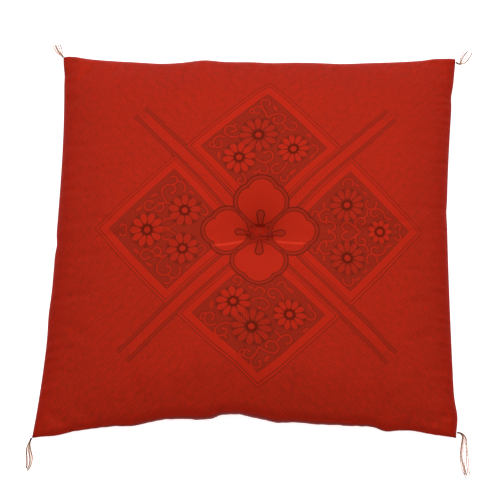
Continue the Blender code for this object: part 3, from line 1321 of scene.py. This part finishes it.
def finish_piece(piece: bpy.types.Object, slot: Slot, material: bpy.types.Material,
                 *nodes: str) -> None:
    """Dress a piece, and put it in the place of the solids that it stands for.

    Args:
        piece: The piece.
        slot: Its finish in the record; not used.
        material: Its material.
        nodes: The solids that it stands for.
    """
    piece.data.materials.clear()
    piece.data.materials.append(material)
    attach(piece, "root")
    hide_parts(*nodes)
    LOG.info("%s: %d faces for %s", piece.name, len(piece.data.polygons), ", ".join(nodes))


def new_piece(name: str, points: np.ndarray, faces: list[tuple[int, ...]]) -> bpy.types.Object:
    """Make a smooth-shaded mesh object.

    Args:
        name: The object's name.
        points: Its points.
        faces: Its faces.

    Returns:
        The object.
    """
    mesh = bpy.data.meshes.new(name)
    mesh.from_pydata([tuple(map(float, point)) for point in points], [], faces)
    mesh.shade_smooth()
    piece = bpy.data.objects.new(name, mesh)
    bpy.context.scene.collection.objects.link(piece)
    return piece


@dataclass(frozen=True)
class Grid:
    """Numbering of a top and an underside that share the points of their seam."""

    cells: int

    def places(self) -> tuple[np.ndarray, np.ndarray]:
        """Places from -1 to 1, for each point of one sheet."""
        line = np.linspace(-1.0, 1.0, self.cells + 1)
        return np.meshgrid(line, line)

    def numbers(self) -> tuple[np.ndarray, np.ndarray]:
        """Number the points of the top and of the underside.

        Returns:
            Both sheets' numbers.
        """
        count = self.cells + 1
        top = np.arange(count * count).reshape(count, count)
        under = top.copy()
        inside = (self.cells - 1) ** 2
        under[1:-1, 1:-1] = (count * count + np.arange(inside)).reshape(self.cells - 1, -1)
        return top, under

    def faces(self) -> list[tuple[int, ...]]:
        """Join the points into faces, all facing out.

        Returns:
            The faces of both sheets.
        """
        top, under = self.numbers()
        corners = [(top[:-1, :-1], top[:-1, 1:], top[1:, 1:], top[1:, :-1]),
                   (under[:-1, :-1], under[1:, :-1], under[1:, 1:], under[:-1, 1:])]
        sheets = [np.stack([c.ravel() for c in four], 1) for four in corners]
        return [tuple(map(int, face)) for face in np.concatenate(sheets)]

    def join(self, top: np.ndarray, under: np.ndarray) -> np.ndarray:
        """List the points of both sheets in the order of their numbers."""
        return np.concatenate([top.reshape(-1, 3), under[1:-1, 1:-1].reshape(-1, 3)])

    def split(self, points: np.ndarray) -> tuple[np.ndarray, np.ndarray]:
        """Take the points of both sheets out of one list."""
        top, under = self.numbers()
        return points[top], points[under]


# A point halfway along a smooth curve, from its two near and its two far neighbours
NEAR_WEIGHT = 9 / 16
FAR_WEIGHT = 1 / 16


def finer(sheet: np.ndarray) -> np.ndarray:
    """Halve a sheet's cells along both directions, on a smooth curve through its points.

    Args:
        sheet: An array of points.

    Returns:
        The finer array.
    """
    for _direction in range(2):
        count = sheet.shape[0]
        middle = (sheet[:-1] + sheet[1:]) * NEAR_WEIGHT
        middle[1:] -= sheet[:-2] * FAR_WEIGHT
        middle[:-1] -= sheet[2:] * FAR_WEIGHT
        middle[0] -= (sheet[0] * 3 - sheet[1] * 3 + sheet[2]) * FAR_WEIGHT
        middle[-1] -= (sheet[-1] * 3 - sheet[-2] * 3 + sheet[-3]) * FAR_WEIGHT
        dense = np.empty((2 * count - 1, *sheet.shape[1:]))
        dense[0::2] = sheet
        dense[1::2] = middle
        sheet = dense.swapaxes(0, 1)
    return sheet


def blurred(sheet: np.ndarray, rounds: int) -> np.ndarray:
    """Smooth a sheet of values, with its edge held.

    Args:
        sheet: The values.
        rounds: How often neighbours are averaged.

    Returns:
        The smoothed values.
    """
    sheet = sheet.copy()
    for _round in range(rounds):
        around = sheet[:-2, 1:-1] + sheet[2:, 1:-1] + sheet[1:-1, :-2] + sheet[1:-1, 2:]
        sheet[1:-1, 1:-1] = (sheet[1:-1, 1:-1] + around / 4) / 2
    return sheet


@dataclass(frozen=True)
class Pull:
    """A small shift of the weave where the tuft gathers it: its middle, its radius and the shift."""

    u: float
    v: float
    radius: float
    shift_u: float
    shift_v: float


@dataclass(frozen=True)
class PatternLie:
    """How the woven pattern lies on the cover, slightly off its middle and eased by the filling."""

    shift: Pair = (-0.0110, 0.0110)
    half: Pair = (0.2682, 0.2618)
    narrowing: Pair = (0.0402, 0.0364)
    bow_across: Pair = (0.0023, -0.0080)
    bow_along: Pair = (-0.0028, -0.0054)
    skew: Pair = (0.0009, 0.0075)
    stretch: Pair = (0.0022, -0.0037)
    pulls: tuple[Pull, ...] = (
        Pull(0.0, 0.0, 0.085, 0.0, -0.0022),
        Pull(0.0, 0.0, 0.020, 0.0, 0.0022),
        Pull(-0.046, 0.028, 0.026, 0.0016, -0.0045),
        Pull(0.042, 0.030, 0.024, 0.0, -0.0040),
        Pull(-0.036, -0.030, 0.014, 0.0, 0.0022),
        Pull(0.042, -0.032, 0.014, 0.0, 0.0035),
        Pull(-0.010, -0.056, 0.022, -0.0010, -0.0030),
        Pull(-0.018, -0.004, 0.010, -0.0030, 0.0),
        Pull(0.018, -0.004, 0.010, 0.0030, 0.0),
    )

    def places(self, across: np.ndarray, along: np.ndarray) -> np.ndarray:
        """Places in the woven pattern.

        Args:
            across: Places from the left seam to the right one.
            along: Places from the front seam to the back one.

        Returns:
            Two distances for each, from the pattern's centre.
        """
        u = self.shift[0] + self.half[0] * across - self.narrowing[0] * across * along ** 2
        v = self.shift[1] + self.half[1] * along - self.narrowing[1] * along * across ** 2
        v = v + self.stretch[0] * across ** 3 + self.stretch[1] * along ** 3
        places = [straight + bow_a * across ** 2 + bow_b * along ** 2 + skew * across * along
                  for straight, bow_a, bow_b, skew
                  in zip((u, v), self.bow_across, self.bow_along, self.skew)]
        place = np.stack(places, -1)
        moved = place.copy()
        for pull in self.pulls:
            away = np.hypot(place[..., 0] - pull.u, place[..., 1] - pull.v) / pull.radius
            fade = np.exp(away ** 2 / -2)
            moved -= fade[..., None] * np.array([pull.shift_u, pull.shift_v])
        return moved


@dataclass(frozen=True)
class Filling:
    """How the cover's cloth gives while it is filled, and for how long."""

    start_share: float = 0.93
    pressure: float = 4.0
    frames: int = 20
    slack: float = -0.012
    quality: int = 6
    mass: float = 0.25
    tension: float = 18.0
    compression: float = 8.0
    shear: float = 6.0
    bending: float = 0.6
    damping: float = 4.0

    def settle(self, filled: bpy.types.Object, held: bpy.types.VertexGroup) -> np.ndarray:
        """Run the cloth simulation.

        Args:
            filled: The closed cover.
            held: The points of it that stay where they are.

        Returns:
            Where its points come to lie.
        """
        cloth = filled.modifiers.new("cloth", "CLOTH")
        settings = cloth.settings
        settings.quality = self.quality
        settings.mass = self.mass
        settings.tension_stiffness = self.tension
        settings.compression_stiffness = self.compression
        settings.shear_stiffness = self.shear
        settings.bending_stiffness = self.bending
        settings.air_damping = self.damping
        settings.use_pressure = True
        settings.uniform_pressure_force = self.pressure
        settings.shrink_min = self.slack
        settings.vertex_group_mass = held.name
        settings.effector_weights.gravity = 0.0
        cloth.point_cache.frame_start = 1
        cloth.point_cache.frame_end = self.frames
        scene = bpy.context.scene
        for number in range(1, self.frames + 1):
            scene.frame_set(number)
        seen = filled.evaluated_get(bpy.context.evaluated_depsgraph_get())
        points = np.empty(len(seen.data.vertices) * 3)
        seen.data.vertices.foreach_get("co", points)
        scene.frame_set(1)
        return points.reshape(-1, 3)


@dataclass(frozen=True)
class Cover:
    """The filled cover: its cloth is settled by a cloth simulation, then gathered at the seam."""

    form: CushionForm = CushionForm()
    filling: Filling = Filling()
    cells: int = 96
    tuft_held: float = 0.007
    floor_held: float = 0.0005
    swell_share: float = 0.35
    swell_cap: float = 0.0025
    wave_gain: float = 0.5
    wave_cap: float = 0.0010
    smoothing_rounds: int = 60
    gather_height: float = 0.0005
    gather_reach: float = 0.016
    gather_start: float = 0.006
    gather_waves: int = 5
    gather_pitch: Pair = (0.011, 0.030)
    gather_beat: Pair = (4.5, 12.0)
    gather_seed: int = 7
    lie: PatternLie = PatternLie()
    under_offset: float = 2.0

    def build(self, material: bpy.types.Material) -> bpy.types.Object:
        """Make the cover and put it in its place.

        Args:
            material: The figured cloth.

        Returns:
            The cover.
        """
        grid = Grid(self.cells)
        across, along = grid.places()
        top, under = self.form.top(across, along), self.form.under(across, along)
        top, under = self.settle(grid, top, under)
        top, under = finer(top), finer(under)
        grid = Grid(2 * self.cells)
        across, along = grid.places()
        top = self.gather(top, across, along, 1.0)
        under = self.gather(under, across, along, -1.0)
        under[..., 2] = np.clip(under[..., 2], 0.0, None)
        shift = np.array(self.form.shift())
        cover = new_piece("cover", grid.join(top, under) + shift, grid.faces())
        self.lay_maps(cover, grid)
        finish_piece(cover, Slot.COVER, material, "cushion")
        return cover

    def settle(self, grid: Grid, top: np.ndarray, under: np.ndarray) -> tuple[np.ndarray, np.ndarray]:
        """Fill the cover by cloth simulation, and keep its waves on the cushion's form.

        Args:
            grid: Numbering of the points.
            top: Points of the top.
            under: Points of the underside.

        Returns:
            The settled top and underside.
        """
        across, along = grid.places()
        seam = (np.abs(across) >= 1) | (np.abs(along) >= 1)
        top_held = seam | (self.form.tuft_distance(top[..., 0], top[..., 1]) < self.tuft_held)
        under_held = seam | (under[..., 2] < self.floor_held)
        top_numbers, under_numbers = grid.numbers()
        wanted = grid.join(top, under)
        fixed = np.zeros(len(wanted), bool)
        fixed[top_numbers[top_held]] = True
        fixed[under_numbers[under_held]] = True
        middle = self.form.tip_height + self.form.seam_lift
        start = wanted.copy()
        start[~fixed, 2] = middle + (start[~fixed, 2] - middle) * self.filling.start_share
        filled = new_piece("filling", start, grid.faces())
        held = filled.vertex_groups.new(name="held")
        held.add([int(number) for number in np.nonzero(fixed)[0]], 1.0, "REPLACE")
        moved = self.filling.settle(filled, held) - wanted
        bpy.data.objects.remove(filled)
        moved_top, moved_under = grid.split(moved)
        return top + self.kept(moved_top), under + self.kept(moved_under)

    def kept(self, moved: np.ndarray) -> np.ndarray:
        """Keep the small waves of a move whole, and cap its broad swelling.

        Args:
            moved: How far each point of a sheet moved.

        Returns:
            How far it is to move.
        """
        broad = blurred(moved, self.smoothing_rounds)
        waves = capped((moved - broad) * self.wave_gain, self.wave_cap)
        return capped(broad * self.swell_share, self.swell_cap) + waves

    def gather(self, sheet: np.ndarray, across: np.ndarray, along: np.ndarray,
               upward: float) -> np.ndarray:
        """Raise fine gathers beside the seam.

        Args:
            sheet: Points of one sheet.
            across: Their places from left to right.
            along: Their places from front to back.
            upward: 1 for the top and -1 for the underside.

        Returns:
            The gathered sheet.
        """
        draw = np.random.default_rng(self.gather_seed)
        sheet = sheet.copy()
        for near, runs, half in ((across, along, self.form.width / 2),
                                 (along, across, self.form.length / 2)):
            for end in (-1, 1):
                inset = (1 - end * near) * half
                waves = np.zeros_like(runs)
                for _wave in range(self.gather_waves):
                    pitch = draw.uniform(*self.gather_pitch)
                    beat = draw.uniform(*self.gather_beat)
                    swing = runs * self.form.length / 2 / pitch * TURN
                    wave = np.sin(swing + draw.uniform(0, TURN))
                    waves += wave * np.sin(runs * beat + draw.uniform(0, TURN))
                fade = np.exp(-inset / self.gather_reach) * smooth(inset / self.gather_start)
                sheet[..., 2] += upward * self.gather_height * waves * fade
        return sheet

    def lay_maps(self, cover: bpy.types.Object, grid: Grid) -> None:
        """Give each face corner its place in the woven pattern, and how far in from the seams it is.

        Args:
            cover: The cover.
            grid: Numbering of its points.
        """
        across, along = grid.places()
        places = self.lie.places(across, along)
        below = places + np.array([self.under_offset, 0.0])
        inset = np.stack([(1 - np.abs(across)) * self.form.width / 2,
                          (1 + along) * self.form.length / 2], -1)
        top_order, under_order = ((0, 0, 1, 1), (0, 1, 1, 0)), ((0, 1, 1, 0), (0, 0, 1, 1))
        count = grid.cells
        for name, top_values, under_values in ((CLOTH_MAP, places, below), (INSET_MAP, inset, inset)):
            corners = []
            for values, (rows, columns) in ((top_values, top_order), (under_values, under_order)):
                four = [values[r:r + count, c:c + count].reshape(-1, 2) for r, c in zip(rows, columns)]
                corners.append(np.stack(four, 1).reshape(-1, 2))
            layer = cover.data.uv_layers.new(name=name)
            layer.uv.foreach_set("vector", np.concatenate(corners).astype(np.float32).ravel())


def capped(moves: np.ndarray, most: float) -> np.ndarray:
    """Shorten each move to at most a given length.

    Args:
        moves: The moves.
        most: The greatest length.

    Returns:
        The shortened moves.
    """
    length = np.linalg.norm(moves, axis=-1, keepdims=True)
    return moves * np.minimum(1.0, most / np.maximum(length, TINY))


@dataclass(frozen=True)
class Thread:
    """A two-ply thread laid along a path."""

    radius: float
    ply_depth: float = 0.22
    lay: float = 0.0045
    sides: int = 8
    tip_taper: float = 24.0
    tip_least: float = 0.12

    def tube(self, path: np.ndarray, strand: float) -> Tube:
        """Skin the thread.

        Args:
            path: The points that it follows.
            strand: A number of its own, from 0 to 1, which varies its shade.

        Returns:
            Points, faces and the strand and place of each point.
        """
        ahead = np.gradient(path, axis=0)
        ahead /= np.linalg.norm(ahead, axis=1, keepdims=True)
        side = np.cross(ahead, (0.0, 0.0, 1.0))
        side /= np.maximum(np.linalg.norm(side, axis=1, keepdims=True), TINY)
        upward = np.cross(side, ahead)
        steps = np.linalg.norm(np.diff(path, axis=0), axis=1)
        run = np.concatenate([[0.0], np.cumsum(steps)])
        angle = np.arange(self.sides) / self.sides * TURN
        phase = run[:, None] / self.lay * TURN + strand * TURN
        share = run / run[-1]
        ends = np.sqrt(np.clip((1 - share) * self.tip_taper, self.tip_least, 1.0))
        radius = self.radius * ends[:, None] * (1 + self.ply_depth * np.cos(2 * (angle - phase)))
        points = (path[:, None] + side[:, None] * (radius * np.cos(angle))[..., None]
                  + upward[:, None] * (radius * np.sin(angle))[..., None])
        count = len(path)
        last = (count - 1) * self.sides
        faces = []
        for base in range(0, last, self.sides):
            for corner in range(self.sides):
                other = (corner + 1) % self.sides
                ahead_of = base + self.sides
                faces.append((base + corner, base + other, ahead_of + other, ahead_of + corner))
        faces.append(tuple(range(self.sides))[::-1])
        faces.append(tuple(range(last, last + self.sides)))
        marks = np.stack([np.full((count, self.sides), strand),
                          np.repeat(share[:, None], self.sides, 1)], -1)
        return points.reshape(-1, 3), faces, marks.reshape(-1, 2)


def spin_up(name: str, tubes: list[Tube]) -> bpy.types.Object:
    """Join threads into one piece, with each point's strand and place in a map.

    Args:
        name: The piece's name.
        tubes: Points, faces and marks of each thread.

    Returns:
        The piece.
    """
    points, faces, marks = [], [], []
    start = 0
    for tube_points, tube_faces, tube_marks in tubes:
        points.append(tube_points)
        marks.append(tube_marks)
        faces.extend(tuple(start + number for number in face) for face in tube_faces)
        start += len(tube_points)
    piece = new_piece(name, np.concatenate(points), faces)
    values = np.concatenate(marks)
    corners = np.empty(len(piece.data.loops), np.int32)
    piece.data.loops.foreach_get("vertex_index", corners)
    layer = piece.data.uv_layers.new(name=THREAD_MAP)
    layer.uv.foreach_set("vector", values[corners].astype(np.float32).ravel())
    return piece


def curve_through(points: list[Vector], steps: int) -> list[Vector]:
    """Points on a smooth curve through the given ones.

    Args:
        points: The given points.
        steps: How many points each stretch gets.

    Returns:
        The points on the curve.
    """
    places = []
    last = len(points) - 1
    for index in range(last):
        before, after = points[max(0, index - 1)], points[min(last, index + 2)]
        start, end = points[index], points[index + 1]
        bend, lead = (after - start) * 0.5, (end - before) * 0.5
        for step in range(steps):
            t = step / steps
            places.append(start * (2 * t ** 3 - 3 * t ** 2 + 1) + lead * (t ** 3 - 2 * t ** 2 + t)
                          + end * (3 * t ** 2 - 2 * t ** 3) + bend * (t ** 3 - t ** 2))
    places.append(points[last].copy())
    return places


@dataclass(frozen=True)
class Tuft:
    """The centre's stitches, whose paths are offsets from the tuft in the plan."""

    thread: Thread = Thread(0.0004)
    clearance: float = 0.0003
    steps: int = 8
    strand: float = 0.4
    top_stitch: tuple[Pair, ...] = (
        (-0.0012, 0.0060),
        (0.0003, 0.0020),
        (-0.0003, -0.0030),
        (0.0030, -0.0062),
        (0.0080, -0.0054),
        (0.0130, -0.0034),
        (0.0178, -0.0015),
    )
    under_stitch: tuple[Pair, ...] = ((-0.0060, 0.0012), (0.0, 0.0), (0.0060, -0.0012))

    def build(self, cover: bpy.types.Object, form: CushionForm, material: bpy.types.Material) -> None:
        """Lay both stitches on the cover.

        Args:
            cover: The cover.
            form: The cushion's form.
            material: The thread's material.
        """
        tree = BVHTree.FromPolygons([v.co for v in cover.data.vertices],
                                    [p.vertices for p in cover.data.polygons])
        centre = form.shift() + Vector((form.tuft_x, form.tuft_y, 0.0))
        for name, offsets, down in (("tuft_stitch_top", self.top_stitch, -1.0),
                                    ("tuft_stitch_under", self.under_stitch, 1.0)):
            route = [centre + Vector((x, y, -down)) for x, y in offsets]
            places = []
            for point in curve_through(route, self.steps):
                hit = tree.ray_cast(point, Vector((0.0, 0.0, down)))[0]
                places.append(hit - Vector((0.0, 0.0, down * (self.thread.radius + self.clearance))))
            stitch = spin_up(name + "_thread", [self.thread.tube(np.array(places), self.strand)])
            finish_piece(stitch, Slot.TUFT, material, name)


@dataclass(frozen=True)
class CornerTassel:
    """A corner's tassel: a short stalk that opens into loose threads on the floor."""

    name: str
    side: int
    end: int
    root: Pair
    heading: float
    turn: float
    turn_length: float
    drift: float
    length: float
    drop: float
    bow: float
    end_half_width: float
    threads: int = 6
    radii: Pair = (0.00042, 0.00060)
    shortest_share: float = 0.88
    stalk_length: float = 0.009
    stalk_half_height: float = 0.0012
    steps: int = 46
    lane_drift: float = 0.25
    root_half_width: float = 0.0007
    close_half_width: float = 0.0016
    close_rate: float = 0.8
    close_delay: float = 0.2
    wander: tuple[Pair, ...] = ((0.0006, 0.012), (0.0003, 0.004))
    lift_spread: float = 0.0005
    rest_height: float = 1.25

    def path(self, form: CushionForm) -> tuple[np.ndarray, np.ndarray, np.ndarray]:
        """The middle line of the tassel.

        Args:
            form: The cushion's form.

        Returns:
            Distances along it, its points, and the sideways direction at each.
        """
        run = np.linspace(0.0, self.length, self.steps)
        middle = (run[1:] + run[:-1]) / 2
        share = middle / self.length
        heading = np.radians(self.heading + self.turn * smooth(middle / self.turn_length)
                             + self.drift * share ** 2)
        step = self.length / (self.steps - 1)
        moves = np.stack([np.cos(heading), np.sin(heading)], 1) * step
        x, y = form.plan(np.array(float(self.side)), np.array(float(self.end)))
        corner = np.array([float(x), float(y)]) + np.array(self.root)
        plan = corner + np.concatenate([[[0.0, 0.0]], np.cumsum(moves, 0)])
        floor = self.radii[1]
        height = floor + (form.tip_height - floor) * (1 - smooth(run / self.drop))
        points = np.concatenate([plan, height[:, None]], 1) + np.array(form.shift())
        turned = np.concatenate([heading, heading[-1:]])
        sideways = np.stack([np.sin(turned), -np.cos(turned), np.zeros_like(turned)], 1)
        return run, points, sideways

    def build(self, form: CushionForm, material: bpy.types.Material) -> bpy.types.Object:
        """Make the tassel.

        Args:
            form: The cushion's form.
            material: The thread's material.

        Returns:
            The tassel.
        """
        draw = np.random.default_rng(sum(map(ord, self.name)))
        run, points, sideways = self.path(form)
        tubes = []
        open_share = np.clip((run - self.stalk_length) / (self.length - self.stalk_length), 0, 1)
        closed = smooth(run / self.stalk_length * self.close_rate - self.close_delay)
        spread = self.root_half_width + self.close_half_width * closed
        spread = spread + (self.end_half_width - spread) * smooth(open_share)
        spread = spread + self.bow * np.sin(math.pi * open_share)
        for number in range(self.threads):
            lane = 2 * number / (self.threads - 1) - 1 + draw.uniform(-self.lane_drift, self.lane_drift)
            length = self.length * draw.uniform(self.shortest_share, 1.0)
            radius = draw.uniform(*self.radii)
            offset = lane * spread
            for swing, pitch in self.wander:
                offset = offset + swing * np.sin(run / pitch + draw.uniform(0, TURN)) * open_share
            lift = np.abs(draw.normal(0, self.lift_spread)) * np.sin(math.pi * open_share)
            over = np.sqrt(np.clip(1 - lane ** 2, 0, 1)) * self.stalk_half_height * (-1) ** number
            lift = lift + over * (1 - smooth(run / self.stalk_length))
            path = points + sideways * offset[:, None]
            path[:, 2] = np.maximum(path[:, 2] + lift, radius * self.rest_height)
            tubes.append(Thread(radius).tube(path[run <= length], draw.uniform(0, 1)))
        tassel = spin_up(self.name + "_threads", tubes)
        finish_piece(tassel, Slot.TASSEL, material, self.name)
        return tassel


TASSELS = (
    CornerTassel("tassel_front_left", side=-1, end=-1, root=(-0.0002, -0.0002), heading=-118, turn=52,
                 turn_length=0.022, drift=-62, length=0.0465, drop=0.018, bow=0.0026,
                 end_half_width=0.0010),
    CornerTassel("tassel_front_right", side=1, end=-1, root=(0.0014, 0.0078), heading=-2, turn=-94,
                 turn_length=0.016, drift=25, length=0.0715, drop=0.022, bow=0.0026,
                 end_half_width=0.0018),
    CornerTassel("tassel_back_left", side=-1, end=1, root=(-0.0004, 0.0005), heading=122, turn=-10,
                 turn_length=0.012, drift=0, length=0.031, drop=0.016, bow=0.0018,
                 end_half_width=0.0044),
    CornerTassel("tassel_back_right", side=1, end=1, root=(0.0006, -0.0050), heading=-46, turn=104,
                 turn_length=0.009, drift=2, length=0.037, drop=0.016, bow=0.0030,
                 end_half_width=0.0040),
)


# Studio


@dataclass(frozen=True)
class SoftBox:
    """A soft lamp: its place, size, power, and the point that it faces."""

    name: str
    place: tuple[float, float, float]
    width: float
    depth: float
    power: float
    target: tuple[float, float, float] = (0.0, 0.0, 0.03)

    def hang(self) -> None:
        """Put the lamp up."""
        data = bpy.data.lights.new(self.name, "AREA")
        data.shape = "RECTANGLE"
        data.size = self.width
        data.size_y = self.depth
        data.energy = self.power
        lamp = bpy.data.objects.new(self.name, data)
        lamp.location = self.place
        facing = Vector(self.target) - Vector(self.place)
        lamp.rotation_euler = facing.to_track_quat("-Z", "Y").to_euler()
        bpy.context.scene.collection.objects.link(lamp)


@dataclass(frozen=True)
class Studio:
    """A pale floor, a soft lamp and the camera at the photograph's angle."""

    elevation: float = 61.0
    distance: float = 3.66
    lens: float = 195.40
    sensor: float = 36.0
    aim_offset: Pair = (-0.00278, -0.0115)
    floor_half: float = 6.0
    floor_drop: float = 0.0004
    floor_glow: float = 0.95
    floor_colour: Colour = (0.88, 0.88, 0.88, 1.0)
    floor_roughness: float = 0.9
    world_strength: float = 0.45
    lamp: SoftBox = SoftBox("key_lamp", place=(0.10, 1.95, 3.37), width=1.7, depth=1.7, power=99.0)

    def build(self) -> None:
        """Lay the floor, hang the lamp and place the camera."""
        half, level = self.floor_half, -self.floor_drop
        corners = np.array([(-half, -half, level), (half, -half, level), (half, half, level),
                            (-half, half, level)])
        floor = new_piece("floor", corners, [(0, 1, 2, 3)])
        paint = new_material("pale_floor")
        feed(paint.node_tree.nodes["Principled BSDF"].inputs, {
            "Base Color": self.floor_colour,
            "Emission Color": self.floor_colour,
            "Emission Strength": self.floor_glow,
            "Roughness": self.floor_roughness,
            "Specular IOR Level": 0.0,
        })
        floor.data.materials.append(paint)
        world = bpy.data.worlds.new("studio_air")
        world.use_nodes = True
        feed(world.node_tree.nodes["Background"].inputs, {"Color": WHITE, "Strength": self.world_strength})
        scene = bpy.context.scene
        scene.world = world
        scene.view_settings.view_transform = "Standard"
        self.lamp.hang()
        self.place_camera()

    def place_camera(self) -> None:
        """Put the camera at the photograph's angle, aimed beside the cushion's middle."""
        low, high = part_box("cushion")
        aim = Vector(((low.x + high.x) / 2 + self.aim_offset[0],
                      (low.y + high.y) / 2 + self.aim_offset[1], 0.0))
        tilt = math.radians(self.elevation)
        data = bpy.data.cameras.new("camera")
        data.lens = self.lens
        data.sensor_width = self.sensor
        camera = bpy.data.objects.new("camera", data)
        camera.location = aim + self.distance * Vector((0.0, -math.cos(tilt), math.sin(tilt)))
        camera.rotation_euler = (math.pi / 2 - tilt, 0.0, 0.0)
        bpy.context.scene.collection.objects.link(camera)
        bpy.context.scene.camera = camera


def main() -> None:
    """Set up the studio, and dress the cushion, its tuft and its tassels."""
    logging.basicConfig(level=logging.INFO, format="%(message)s")
    Studio().build()
    cover = Cover()
    cloth = FiguredCloth().dress()
    cushion = cover.build(cloth)
    Tuft().build(cushion, cover.form, RED_THREAD.dress())
    cream = CREAM_THREAD.dress()
    for tassel in TASSELS:
        tassel.build(cover.form, cream)


if __name__ == "__main__":
    main()
